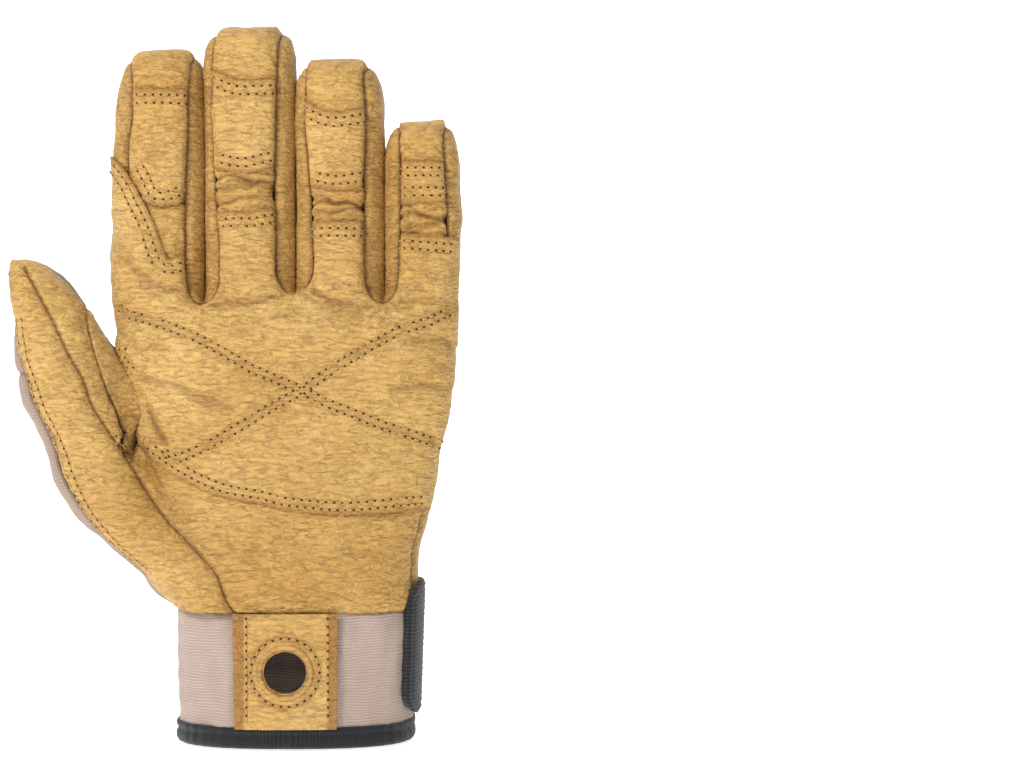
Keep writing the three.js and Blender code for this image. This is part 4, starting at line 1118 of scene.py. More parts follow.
@dataclass(frozen=True)
class Leather(Finish):
    """Grain leather: mottled colour, painted shade in the seams, creases and hollows, with fine pores and
    soft sheen.
    """

    light: tuple[float, float, float] = (0.8, 0.55, 0.2)

    def build(self, nodes: Nodes) -> None:
        """Mottled colour, crinkled grain that runs across the hand, pores, rough raw edges, and painted
        shade.

        Args:
            nodes: writes the shader.
        """
        where = self.place(nodes)
        shade = self.value(nodes, "shade", "Fac")
        raw = self.value(nodes, "raw", "Fac")
        squeezed = nodes.add("VectorMath", operation="MULTIPLY")
        nodes.set(squeezed.inputs[0], where)
        nodes.set(squeezed.inputs[1], (1.0, 1.0, 2.9))
        crinkle = nodes.noise(squeezed.outputs[0], 290, 3, 0.55, 1.1)
        fine = nodes.noise(squeezed.outputs[0], 900, 2, 0.6, 0.5)
        patches = nodes.ramp(nodes.noise(where, 26, 4, 0.6), 0.35, 0.7)
        body = nodes.blend(nodes.math("MULTIPLY", patches, 0.8), (*self.color, 1), (*self.light, 1))
        streak = nodes.ramp(nodes.noise(where, 90, 5, 0.7), 0.45, 0.66)
        body = nodes.blend(nodes.math("MULTIPLY", streak, 0.13), body, (*self.dark, 1))
        # Darker in the crinkles' valleys: partly the grain's own colour, partly painted shade.
        valley = nodes.ramp(crinkle, 0.53, 0.34)
        body = nodes.blend(nodes.math("MULTIPLY", valley, 0.42), body, (*self.dark, 1))
        fibre = nodes.ramp(nodes.noise(where, 1700, 3, 0.7), 0.3, 0.7)
        edge = nodes.blend(fibre, (0.3, 0.12, 0.024, 1), (0.58, 0.29, 0.075, 1))
        body = nodes.blend(nodes.math("MULTIPLY", raw, 0.75), body, edge)
        # Painted shade: the shade attribute darkens the colour in the seams, creases and hollows and on the
        # inner faces.
        body = nodes.blend(nodes.math("MULTIPLY", shade, 0.94), body, (*self.dark, 1))
        nodes.set(nodes.shader.inputs["Base Color"], body)
        rough = nodes.math("ADD", nodes.math("MULTIPLY", crinkle, 0.22), self.roughness - 0.1)
        rough = nodes.math("ADD", rough, nodes.math("MULTIPLY", raw, 0.3))
        nodes.set(nodes.shader.inputs["Roughness"], rough)
        nodes.set(nodes.shader.inputs["Specular IOR Level"], 0.38)
        nodes.set(nodes.shader.inputs["Sheen Weight"], 0.06)
        nodes.set(nodes.shader.inputs["Sheen Roughness"], 0.5)
        soft = nodes.bump(crinkle, 0.0019, 0.95)
        grain = nodes.bump(fine, 0.0003, 0.5, soft)
        rougher = nodes.math("MULTIPLY", fibre, raw)
        nodes.set(nodes.shader.inputs["Normal"], nodes.bump(rougher, 0.0005, 0.7, grain))


@dataclass(frozen=True)
class Suede(Finish):
    """Raw cut edge of the leather: fibrous and matt."""

    def build(self, nodes: Nodes) -> None:
        """Fibres of two colours that stand up a little.

        Args:
            nodes: writes the shader.
        """
        where = self.place(nodes)
        fibre = nodes.ramp(nodes.noise(where, 1500, 3, 0.7), 0.3, 0.7)
        body = nodes.blend(fibre, (*self.dark, 1), (*self.color, 1))
        nodes.set(nodes.shader.inputs["Base Color"], body)
        nodes.set(nodes.shader.inputs["Roughness"], 0.95)
        nodes.set(nodes.shader.inputs["Specular IOR Level"], 0.1)
        nodes.set(nodes.shader.inputs["Normal"], nodes.bump(fibre, 0.0004, 0.6))


@dataclass(frozen=True)
class Woven(Finish):
    """Cloth with threads along and across, by the cloth's own places."""

    threads: float = 1500.0
    upright: float = 0.35
    level: float = 0.1

    def build(self, nodes: Nodes) -> None:
        """Threads by their sines, with fuzz, broad stains, and painted shade in the seams and hollows.

        Args:
            nodes: writes the shader.
        """
        where = self.value(nodes, "cloth", "Vector")
        parts = nodes.add("SeparateXYZ", {"Vector": where})
        place = self.place(nodes)
        drift = nodes.math("MULTIPLY", nodes.noise(place, 160, 2, 0.5), 0.0016)
        warp = nodes.math("SINE", nodes.math("MULTIPLY", parts.outputs[0], self.threads * 2 * math.pi))
        height = nodes.math("ADD", parts.outputs[1], drift)
        weft = nodes.math("SINE", nodes.math("MULTIPLY", height, self.threads * 2 * math.pi))
        cross = nodes.math("MULTIPLY", nodes.math("MULTIPLY", warp, weft), 0.5)
        warp_rib = nodes.math("MULTIPLY", warp, self.upright)
        ribs = nodes.math("ADD", warp_rib, nodes.math("MULTIPLY", weft, self.level))
        rows = nodes.math("ADD", cross, ribs)
        fuzz = nodes.noise(place, 2200, 2, 0.6)
        height = nodes.math("ADD", rows, nodes.math("MULTIPLY", fuzz, 0.8))
        body = nodes.blend(nodes.ramp(height, -0.5, 1.3), (*self.dark, 1), (*self.color, 1))
        broad = nodes.ramp(nodes.noise(place, 45, 3, 0.6), 0.35, 0.75)
        body = nodes.blend(nodes.math("MULTIPLY", broad, 0.22), body, (*self.dark, 1))
        # Painted shade from the shade attribute, towards a colour deeper than the cloth's dark one.
        shade = self.value(nodes, "shade", "Fac")
        deep = tuple(v * 0.35 for v in self.dark)
        body = nodes.blend(nodes.math("MULTIPLY", shade, 0.8), body, (*deep, 1))
        nodes.set(nodes.shader.inputs["Base Color"], body)
        nodes.set(nodes.shader.inputs["Roughness"], self.roughness)
        nodes.set(nodes.shader.inputs["Specular IOR Level"], 0.15)
        nodes.set(nodes.shader.inputs["Sheen Weight"], 0.25)
        nodes.set(nodes.shader.inputs["Normal"], nodes.bump(height, 0.0003, 0.5))


GOLD = Leather("golden_grain", (0.6, 0.335, 0.078), (0.16, 0.056, 0.009), 0.52, (0.74, 0.47, 0.15))
PATCH_GOLD = Leather("patch_grain", (0.63, 0.36, 0.09), (0.17, 0.062, 0.011), 0.5, (0.77, 0.5, 0.17))
SIDE_GOLD = Leather("side_grain", (0.56, 0.31, 0.073), (0.13, 0.045, 0.008), 0.52, (0.7, 0.44, 0.14))
RAW_EDGE = Suede("raw_suede", (0.6, 0.31, 0.09), (0.3, 0.125, 0.028))
BACK_CLOTH = Woven("back_cloth", (0.5, 0.37, 0.28), (0.2, 0.13, 0.09), 0.9, 1100.0, 0.3, 0.2)
KNIT = Woven("cuff_knit", (0.6, 0.475, 0.41), (0.33, 0.24, 0.2), 0.92, 1150.0, 0.12, 0.5)
BINDING = Woven("black_binding", (0.03, 0.032, 0.036), (0.007, 0.007, 0.009), 0.7, 1300.0, 0.5, 0.1)
STRAP = Woven("black_strap", (0.026, 0.028, 0.032), (0.006, 0.006, 0.008), 0.65, 900.0, 0.1, 0.8)
THREAD = Finish("thread", (0.5, 0.29, 0.08), (0.2, 0.1, 0.03), 0.6)
# Flat dark colour of the painted shade in the needle holes.
HOLE_SHADE = Finish("needle_hole_shade", (0.05, 0.017, 0.005), (0.02, 0.01, 0.004), 0.9)


def run_along(path: Array) -> Array:
    """Distance along a path to each of its corners."""
    return np.concatenate([[0], np.cumsum(np.linalg.norm(np.diff(path, axis=0), axis=1))])


def at_run(places: Array, run: Array, values: Array) -> Array:
    """Values of a path's corners at places along it."""
    return np.stack([np.interp(places, run, column) for column in values.T], 1)


@dataclass
class Thread:
    """Machine stitches, kept as arrays and made into one mesh: each is a small bent rod with round ends."""

    name: str
    finish: Finish
    length: float = 1.85
    radius: float = 0.27
    pitch: float = 2.45
    hole: tuple[float, float] = (0.46, 0.36)
    reach: float = 1.1
    centres: list[Array] = field(default_factory=list)
    alongs: list[Array] = field(default_factory=list)
    outs: list[Array] = field(default_factory=list)

    def row(self, points: Array, normals: Array) -> None:
        """Adds a row of stitches along a path on a surface.

        Args:
            points: the path, close together.
            normals: directions out of the surface at them.
        """
        run = run_along(points)
        if run[-1] < self.pitch:
            return
        count = max(1, int(round(run[-1] / self.pitch)))
        middle = (np.arange(count) + 0.5) * run[-1] / count
        out = at_run(middle, run, normals)
        along = at_run(middle + 0.6, run, points) - at_run(middle - 0.6, run, points)
        along /= np.maximum(np.linalg.norm(along, axis=1, keepdims=True), 1e-9)
        out -= along * (out * along).sum(1, keepdims=True)
        out /= np.maximum(np.linalg.norm(out, axis=1, keepdims=True), 1e-9)
        self.centres.append(at_run(middle, run, points))
        self.alongs.append(along)
        self.outs.append(out)

    def row_on(self, shell: Shell, path: Array, face: int = -1, step: float = 0.6) -> None:
        """Adds a row on a surface.

        Args:
            shell: the surface.
            path: corners of the row as (x, z).
            face: -1 for the palm side and 1 for the back.
            step: distance between the places at which the surface is found.
        """
        run = run_along(path)
        places = np.linspace(0, run[-1], max(3, int(run[-1] / step)))
        points, normals, apart = shell.project(at_run(places, run, path), face)
        on_piece = apart < self.reach
        self.row(points[on_piece], normals[on_piece])

    def rods(self, sides: int = 6) -> tuple[Array, Array]:
        """Points and faces of all the stitches: rings along a rod whose ends dip into the leather.

        Args:
            sides: number of corners round each one.

        Returns:
            Points and faces.
        """
        along_share = np.array([-0.5, -0.44, -0.2, 0.2, 0.44, 0.5])
        thick = np.array([0.35, 0.85, 1.0, 1.0, 0.85, 0.35])
        sink = np.array([-0.3, -0.04, 0.16, 0.16, -0.04, -0.3])
        turn = np.arange(sides) * 2 * math.pi / sides
        centres, along, out = (np.concatenate(v) for v in (self.centres, self.alongs, self.outs))
        across = np.cross(along, out)
        lift = self.radius * (0.9 * np.sin(turn)[None] * thick[:, None]) + sink[:, None]
        wide = self.radius * 1.15 * np.cos(turn)[None] * thick[:, None]
        reach = np.broadcast_to((along_share * self.length)[:, None], lift.shape)
        points = (
            centres[:, None, None]
            + along[:, None, None] * reach[None, ..., None]
            + out[:, None, None] * lift[None, ..., None]
            + across[:, None, None] * wide[None, ..., None]
        )
        rings = len(along_share)
        i = np.arange(rings * sides).reshape(rings, sides)
        j = np.roll(i, -1, axis=1)
        quads = np.stack([i[:-1], j[:-1], j[1:], i[1:]], -1).reshape(-1, 4)
        count = len(centres)
        faces = quads[None] + (np.arange(count) * rings * sides)[:, None, None]
        return points.reshape(-1, 3), faces.reshape(-1, 4)

    def holes(self, sides: int = 8) -> tuple[Array, Array]:
        """Points and faces of the needle holes: a small dark oval of painted shade between each stitch and
        the next.

        Args:
            sides: number of corners round each one.

        Returns:
            Points and faces.
        """
        centres, along, out = (np.concatenate(v) for v in (self.centres, self.alongs, self.outs))
        across = np.cross(along, out)
        turn = np.arange(sides) * 2 * math.pi / sides
        middle = centres + along * (self.pitch / 2) + out * 0.1
        discs = (
            middle[:, None]
            + along[:, None] * (self.hole[0] * np.cos(turn))[None, :, None]
            + across[:, None] * (self.hole[1] * np.sin(turn))[None, :, None]
        )
        points = discs.reshape(-1, 3)
        return points, np.arange(len(points)).reshape(-1, sides)

    def build(self) -> list[bpy.types.Object]:
        """Makes the stitches, and the ovals of painted shade in the holes that they go into."""
        made = []
        for label, (points, faces), finish in (
            (self.name, self.rods(), self.finish),
            (self.name + "_hole_shades", self.holes(), HOLE_SHADE),
        ):
            obj = new_mesh(label, points, faces)
            obj.data.materials.append(finish.material())
            made.append(obj)
        log.info("%s: %d stitches", self.name, sum(len(c) for c in self.centres))
        return made


def place(obj: bpy.types.Object, slot: str, *nodes: str) -> bpy.types.Object:
    """Fixes a piece to the glove and hides the CAD nodes that it stands for.

    Args:
        obj: the piece.
        slot: the finish's slot; not used.
        nodes: CAD nodes that it stands for.

    Returns:
        The piece.
    """
    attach(obj, "root")
    if nodes:
        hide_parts(*nodes)
    log.info("%s: %d faces", obj.name, len(obj.data.polygons))
    return obj


FINE = 0.62


def count_for(length: float, step: float = 1.0) -> int:
    """Number of grid lines for a length."""
    return max(6, int(round(length / (FINE * step))))


@dataclass
class Details:
    """Folds and lines of the palm side, read off the photograph."""

    quilt: list[Array] = field(default_factory=lambda: [
        from_photo([(112, 304), (126, 314), (166, 326), (195, 337), (225, 353), (252, 369), (303, 391)]),
        from_photo([(454, 309), (429, 322), (400, 331), (371, 347), (336, 368), (303, 391)]),
        from_photo([(303, 391), (326, 403), (354, 414), (383, 426), (414, 436), (440, 446)]),
        from_photo([(303, 391), (275, 406), (241, 427), (207, 447), (179, 459), (167, 455)]),
    ])
    folds: list[tuple[Array, float, float]] = field(default_factory=lambda: [
        (from_photo([(141, 378), (175, 384), (200, 396), (232, 409)]), 0.9, 1.5),
        (from_photo([(146, 408), (153, 424), (163, 440)]), 1.6, 2.2),
        (from_photo([(405, 343), (430, 340), (454, 345)]), 0.7, 1.3),
        (from_photo([(391, 390), (420, 385), (447, 388)]), 0.7, 1.4),
        (from_photo([(215, 301), (235, 305), (262, 302), (285, 297)]), 1.1, 1.7),
        (from_photo([(316, 294), (338, 306), (360, 310), (374, 305)]), 1.0, 1.7),
        (from_photo([(130, 262), (150, 284), (178, 292)]), 0.8, 1.8),
        (from_photo([(118, 330), (140, 345), (170, 350)]), 0.6, 1.6),
        (from_photo([(240, 330), (268, 318), (300, 322)]), 0.45, 2.0),
        (from_photo([(398, 306), (420, 300), (446, 303)]), 0.6, 1.5),
    ])

    def relief(self, p: Array) -> tuple[Array, Array]:
        """Height and shade of the quilting and folds at each point.

        The quilting is a channel with two stitched rows, a little raised between them, and the leather
        puffs up away from it. A fold is a groove with a low ridge beside it.

        Args:
            p: points, one row to a point.

        Returns:
            One height and one shade to a point.
        """
        cross = np.min([line_distance(p, line) for line in self.quilt], axis=0)
        height = 0.5 * (1 - groove(cross, 8.0)) - 1.05 * groove(cross, 2.1) + 0.35 * groove(cross, 0.75)
        shade = 0.22 * groove(cross, 1.9)
        soft = Waves(3, (26, 26, 26))(p)
        for line, depth, width in self.folds:
            d = line_distance(p, line) * (1 + 0.25 * soft)
            height += -depth * groove(d, width) + 0.35 * depth * groove(d - 2.4 * width, 1.3 * width)
            shade += 0.35 * depth * groove(d, 0.7 * width)
        return height, shade


DETAILS = Details()
# Shares of each finger's length at which its front creases, between the stub and the patch
CREASE_PLACES = ((0.385, 0.42), (0.37, 0.405, 0.435), (0.365, 0.4, 0.425), (0.40, 0.44, 0.49))
BROAD = Waves(1, (34, 34, 30))
FINE_WAVES = Waves(2, (9, 9, 7), 22)
CREASE_FIELD = Waves(5, (15, 15, 6), 20)
GRAIN = Waves(8, (3.6, 3.6, 3.0), 26)


def handled(p: Array) -> Array:
    """General unevenness of handled leather: broad swells, small ones, and grain."""
    return 0.32 * BROAD(p) + 0.1 * FINE_WAVES(p) + 0.03 * GRAIN(p)


def pucker(p: Array, distance: Array, pitch: float = 3.4, reach: float = 3.2) -> Array:
    """Small gathers across a sewn seam, that fade away from it."""
    ripple = np.sin(2 * math.pi * (p[:, 2] * 0.8 + p[:, 0] * 0.7 + 2.0 * FINE_WAVES(p)) / pitch)
    return 0.16 * ripple * groove(distance - 1.2, reach)


def crotch_rays(p: Array) -> Array:
    """Gathers that spread from the crotches between the fingers down into the palm.

    Args:
        p: points, one row to a point.

    Returns:
        One height to a point.
    """
    height = np.zeros(len(p))
    for f in FINGERS[:-1]:
        x, z = f.crotch_right
        dx, dz = p[:, 0] - x, p[:, 2] - z
        far = np.hypot(dx, dz)
        turn = np.arctan2(dx, -dz)
        rays = 0.34 * np.cos(9 * turn + 1.2 * FINE_WAVES(p))
        height += rays * np.exp(-((far - 5) / 7.5) ** 2) * (np.abs(turn) < 1.9)
    return height


def finger_creases(p: Array, shade: Array) -> tuple[Array, Array]:
    """Cross creases at the bends of the fingers, between the patches.

    Args:
        p: points, one row to a point.
        shade: shade so far, one to a point.

    Returns:
        One height and one shade to a point.
    """
    height = np.zeros(len(p))
    for f, places in zip(FINGERS, CREASE_PLACES):
        inside = ease((f.width / 2 + 1 - np.abs(p[:, 0] - f.x)) / 2)
        for i, at in enumerate(places):
            bend = 1.5 * np.sin((p[:, 0] - f.x) / 5 + i * 1.7) + 0.8 * FINE_WAVES(p)
            level = CROTCH_LINE + at * f.length + bend
            bell = groove(p[:, 2] - level, 1.15) * inside
            height += -0.75 * bell + 0.3 * groove(p[:, 2] - level - 2.0, 1.3) * inside
            shade = shade + 0.32 * bell
    return height, shade


def shade_from(shell: Shell, before: Array) -> Array:
    """Shade in the hollows: how far each point lies under the plane of its neighbours.

    Args:
        shell: the surface.
        before: shade to start from.

    Returns:
        One shade to a point, from 0 to 1.
    """
    total = np.zeros_like(shell.points)
    count = np.zeros(len(shell.points))
    for i in range(3):
        j = (i + 1) % 3
        np.add.at(total, shell.triangles[:, i], shell.points[shell.triangles[:, j]])
        np.add.at(count, shell.triangles[:, i], 1)
    mean = total / np.maximum(count, 1)[:, None]
    bowl = ((mean - shell.points) * shell.normals).sum(1) / FINE**2
    return np.clip(before + np.clip(bowl * 0.9, -0.08, 0.3), 0, 1)


def fray(x: Array, seed: float) -> Array:
    """Small unevenness of a raw edge that was cut by hand."""
    waves = ((0.13, 1.9), (0.1, 4.7), (0.06, 9.1))
    return sum(size * np.sin(rate * x + (i + 1) * seed) for i, (size, rate) in enumerate(waves))


def sewn(shell: Shell, dip: float = 1.15, puff: float = 0.45) -> Array:
    """Height of a sewn piece by distance from its seams: it dips into the seam and puffs up beyond."""
    d = shell.distance
    return -dip * groove(d, 1.1) + puff * (1 - groove(d, 4.2)) - 0.02


def seam_shade(distance: Array) -> Array:
    """Painted shade along a seam: a dark line where the leather dips into it."""
    return 0.98 * groove(distance, 0.45) + 0.16 * groove(distance, 1.3)


def patch_edge(across: Array) -> Array:
    """Height of the patch's lower edge at a share of the palm's width."""
    return CUFF_TOP + PALM_LENGTH * PALM_PATCH_EDGE(across)


def palm_marks(left: float, right: float) -> list[float]:
    """Shares of the hand's width at its two edges and at each crotch."""
    return [0.0, *((f.crotch_right[0] - left) / (right - left) for f in FINGERS[:-1]), 1.0]


@dataclass
class Palm:
    """The palm's base leather and the quilted patch over it; its sizes place the rows of stitches."""

    quilt_rows: tuple[float, float] = (-1.15, 1.15)
    edge_rows: tuple[float, float] = (1.9, 4.1)
    stub_rows: tuple[float, float] = (2.2, 4.5)
    web_rows: tuple[float, float] = (1.6, 3.8)
    ends: list[float] = field(init=False)
    base: Shell = field(init=False)
    patch: Shell = field(init=False)

    def __post_init__(self) -> None:
        """Lays out both pieces."""
        line = np.array([CROTCH_LINE])
        self.ends = [float(FORM.outer_seam_x(side, line, -1)[0]) for side in (-1, 1)]
        self.base = self.make_base()
        self.patch = self.make_patch()

    @staticmethod
    def level(across: Array, left: float, right: float, face: int) -> Array:
        """Height of the knuckles' line across the hand.

        Args:
            across: shares of the hand's width.
            left: its left edge.
            right: its right edge.
            face: -1 for the palm side and 1 for the back.

        Returns:
            The heights.
        """
        marks = palm_marks(left, right)
        heights = [CROTCH_LINE, *(f.crotch_right[1] for f in FINGERS[:-1]), CROTCH_LINE]
        return np.interp(across, marks, heights) - (BACK_CROTCH_DROP if face > 0 else 0)

    @staticmethod
    def shares(left: float, right: float, width: float) -> tuple[Array, list[int]]:
        """Columns across the hand, with one at each crotch.

        Args:
            left: the hand's left edge.
            right: its right edge.
            width: length that sets the number of columns.

        Returns:
            The columns' shares of the width, and the numbers of those at the crotches.
        """
        marks = np.array(palm_marks(left, right))
        count = count_for(width / 4)
        pieces = [np.linspace(a, b, count + 1)[1:] for a, b in zip(marks[:-1], marks[1:])]
        return np.concatenate([[0.0], *pieces]), [count * i for i in range(5)]

    def make_base(self) -> Shell:
        """Base leather, from the cuff to the fingers, seen below the patch."""
        across, _ = self.shares(*self.ends, 108)
        edge = patch_edge(across)
        low = CUFF_TOP - 0.9
        rows = [mix(low, edge + 4, t) for t in np.linspace(0, 1, count_for(44))]
        top = self.level(across, *self.ends, -1)
        rows += [mix(edge + 4, top, t) for t in np.linspace(0, 1, count_for(54, 2.2))[1:]]
        z = np.array(rows)
        x = mix(palm_left_x(z), FORM.outer_seam_x(1, z, -1), across)
        shell = Shell.from_grids([FORM.points(x, z, -1, Skin.PALM)], np.array([0.0, -1, 0]))
        p = shell.points
        edge_at = patch_edge((p[:, 0] - palm_left_x(p[:, 2])) / 100)
        under = ease((p[:, 2] - edge_at + 1) / 4)
        crumple = groove(CREASE_FIELD(p), 0.16) * ease((CUFF_TOP + 26 - p[:, 2]) / 22)
        rise = sewn(shell) + handled(p) + pucker(p, shell.distance) - 0.25 * crumple
        shell.raise_by(np.where(under > 0, mix(rise, -0.8, under), rise))
        shell.shade = shade_from(shell, seam_shade(shell.distance) + 0.06 * crumple)
        return shell

    def patch_left(self, z: Array) -> Array:
        """Left border of the patch.

        Args:
            z: heights.

        Returns:
            The border's x.
        """
        notch = CUFF_TOP + WEB_NOTCH
        edge = FORM.edge_x(z, -1) + PATCH_INSET
        high = np.maximum(edge, mix(web_x(1, z) + 0.1, edge, ease((z - notch) / NOTCH_BLEND)))
        return np.where(z < notch - NOTCH_BLEND, palm_left_x(z) + 0.1, high)

    @staticmethod
    def patch_right(z: Array) -> Array:
        """Right border of the patch."""
        return FORM.edge_x(z, 1) - PATCH_INSET

    def stub_right(self, z: Array) -> Array:
        """Right border of the stub on the little finger."""
        return np.minimum(self.patch_right(z), FORM.outer_seam_x(1, z, -1) + 2.0)

    def make_patch(self) -> Shell:
        """Patch over the palm with a stub on the first part of each finger, in five joined grids."""
        line = np.array([CROTCH_LINE])
        ends = [float(self.patch_left(line)[0]), float(self.patch_right(line)[0])]
        across, marks = self.shares(*ends, 108)
        edge = patch_edge(across) + fray(across * 100, 1.0)
        top = self.level(across, *ends, -1) - SEAM_GAP
        z = np.array([mix(edge, top, t) for t in np.linspace(0, 1, count_for(66))])
        x = mix(self.patch_left(z), self.patch_right(z), across)
        grids = [FORM.points(x, z, -1, Skin.PALM)]
        seams, raws = [], [grids[0][0]]
        for number, f in enumerate(FINGERS):
            first = slice(marks[number], marks[number + 1] + 1)
            part = np.linspace(0, 1, marks[1] + 1)
            base_x, base_z = x[-1, first], z[-1, first]
            rounds = np.radians(np.linspace(0, 90, 12)[1:])
            rows_x, rows_z = [base_x], [base_z]
            for angle in rounds:
                a, b = (self.corner(f, side, angle) for side in (-1, 1))
                rows_x.append(mix(a[0], b[0], part))
                rows_z.append(mix(a[1], b[1], part))
            start = rows_z[-1]
            stub = CROTCH_LINE + f.length * f.patch["stub"](part) + fray(part * f.width, f.x)
            for t in np.linspace(0, 1, count_for(f.length * 0.3))[1:]:
                level = mix(start, stub, t)
                seam = np.maximum(level, CROTCH_LINE + CROTCH_DEPTH)
                a = f.seam_x(-1, seam) + 0.15 if f.crotch_left else self.patch_left(level)
                b = f.seam_x(1, seam) - 0.15 if f.crotch_right else self.stub_right(level)
                rows_x.append(mix(a, b, part))
                rows_z.append(level)
            grids.append(FORM.points(np.array(rows_x), np.array(rows_z), -1, Skin.PALM))
            for side, column in ((-1, 0), (1, -1)):
                if f.crotch(side):
                    seams.append(grids[-1][:, column])
            raws.append(grids[-1][-1])
        shell = Shell.from_grids(grids, np.array([0.0, -1, 0]))
        p = shell.points
        quilt, dark = DETAILS.relief(p)
        d = shell.distance
        sewn_in = Shell.distance_to(p, np.concatenate(seams))
        shell.raw = groove(Shell.distance_to(p, np.concatenate(raws)), 1.1)
        calm = ease((d - 0.5) / 4)
        high = LAP_GAP + PATCH_LEATHER + 0.1
        rise = high + calm * quilt + handled(p) + crotch_rays(p) * calm
        rise += 0.25 * (1 - groove(d, 6)) - 0.22 * groove(d, 0.45)
        rise += 0.12 * np.sin(p[:, 0] * 1.1 + p[:, 2] * 0.7) * groove(d - 3.4, 2.2)
        rise -= 0.2 * groove(d - 3.4, 2.4)
        crumple = groove(CREASE_FIELD(p), 0.1) * ease((p[:, 2] - 112) / 26) * calm
        tuck = 0.3 * groove(sewn_in - 3.5, 2.0) - 2.5 * groove(sewn_in, 1.3)
        shell.raise_by(rise - 0.22 * crumple + tuck)
        # Painted shade: dark lines where the stubs tuck into the crotch seams and a little along the border,
        # with the quilting's and folds' shade, the crumples and the hollows.
        lines = 0.95 * groove(sewn_in, 0.5) + 0.14 * groove(d, 0.8)
        shell.shade = shade_from(shell, dark * calm + 0.07 * crumple + lines)
        return shell

    def corner(self, f: Finger, side: int, angle: float) -> tuple[float, float]:
        """Border of a stub beside a crotch, or on the hand's outer side.

        Args:
            f: the finger.
            side: -1 or 1.
            angle: from the crotch's lowest point, in radians.

        Returns:
            Its place as (x, z).
        """
        if f.crotch(side):
            return seam_round(f, side, angle, 0.12, -1)
        z = CROTCH_LINE + CROTCH_DEPTH * (1 - math.cos(angle)) - SEAM_GAP * math.cos(angle)
        where = np.array([z])
        x = self.patch_left(where) if side < 0 else self.stub_right(where)
        return float(x[0]), z

    def build(self) -> None:
        """Makes the two pieces."""
        place(leather_body("palm", self.base, LEATHER, GOLD), "leather", "palm_panel")
        patch = leather_body("quilted_patch", self.patch, PATCH_LEATHER, PATCH_GOLD, RAW_EDGE)
        place(patch, "patch_leather", "palm_patch")

    def sew(self, thread: Thread) -> None:
        """Stitches of the quilting and of the patch's edges.

        Args:
            thread: collects the rows.
        """
        for line in DETAILS.quilt:
            for side in self.quilt_rows:
                thread.row_on(self.patch, shifted(line, side))
        across = np.linspace(0.012, 0.988, 120)
        z = patch_edge(across)
        x = mix(self.patch_left(z), self.patch_right(z), across)
        for inset in self.edge_rows:
            thread.row_on(self.patch, shifted(np.stack([x, z], 1), inset))
        for f in FINGERS:
            part = np.linspace(0.03, 0.96, 50)
            z = CROTCH_LINE + f.length * f.patch["stub"](part)
            a = f.seam_x(-1, z) if f.crotch_left else self.patch_left(z)
            b = f.seam_x(1, z) if f.crotch_right else FORM.outer_seam_x(1, z, -1) + 1.2
            line = np.stack([mix(a, b, part), z], 1)
            for inset in self.stub_rows:
                thread.row_on(self.patch, shifted(line, -inset))
        for inset in self.web_rows:
            z = np.linspace(WEB_FOOT + 18, CUFF_TOP + WEB_NOTCH + 3, 20)
            thread.row_on(self.patch, np.stack([web_x(1, z) + inset, z], 1))


def shifted(line: Array, by: float) -> Array:
    """A path moved to its side by a distance.

    Args:
        line: the path's corners.
        by: the distance.

    Returns:
        The moved path.
    """
    along = np.gradient(line, axis=0)
    along /= np.linalg.norm(along, axis=1, keepdims=True)
    return line + by * np.stack([-along[:, 1], along[:, 0]], 1)


def seam_round(f: Finger, side: int, angle: float, pad: float, face: int) -> tuple[float, float]:
    """Point of a finger's seam where it rounds the crotch.

    Args:
        f: the finger.
        side: -1 or 1.
        angle: from the crotch's lowest point, in radians.
        pad: distance from the seam, away from the strip.
        face: -1 for the palm side and 1 for the back.

    Returns:
        Its place as (x, z).
    """
    drop = BACK_CROTCH_DROP if face > 0 else 0
    sin, cos = math.sin(angle), math.cos(angle)
    crotch = f.crotch(side)
    if crotch is None:
        z = CROTCH_LINE - drop + CROTCH_DEPTH * (1 - cos) - pad * cos
        return float(FORM.outer_seam_x(side, np.array([z]), face)[0]) - side * pad, z
    half = abs(crotch[0] - float(f.seam_x(side, crotch[1] + CROTCH_DEPTH)))
    reach = max(pad, (half + pad) * sin) if pad > 0 else (half + pad) * sin
    return crotch[0] - side * reach, crotch[1] - drop + CROTCH_DEPTH - (CROTCH_DEPTH + pad) * cos


def strip_columns(width: float) -> tuple[Array, Array]:
    """Columns of a strip, from its front seam over the ridge to its back seam.

    Args:
        width: length that sets the number of columns.

    Returns:
        Each column's share of the way to the ridge, and its face: -1 in front and 1 behind.
    """
    shares = np.sin(np.linspace(0, 1, count_for(width)) * math.pi / 2)
    face = np.concatenate([-np.ones(len(shares)), np.ones(len(shares) - 1)])
    return np.concatenate([shares, shares[-2::-1]]), face


def strip_top(f: Finger) -> float:
    """Height at which a strip ends on a finger's round tip."""
    return f.top - f.tip + f.tip * math.sin(math.radians(STRIP_END))


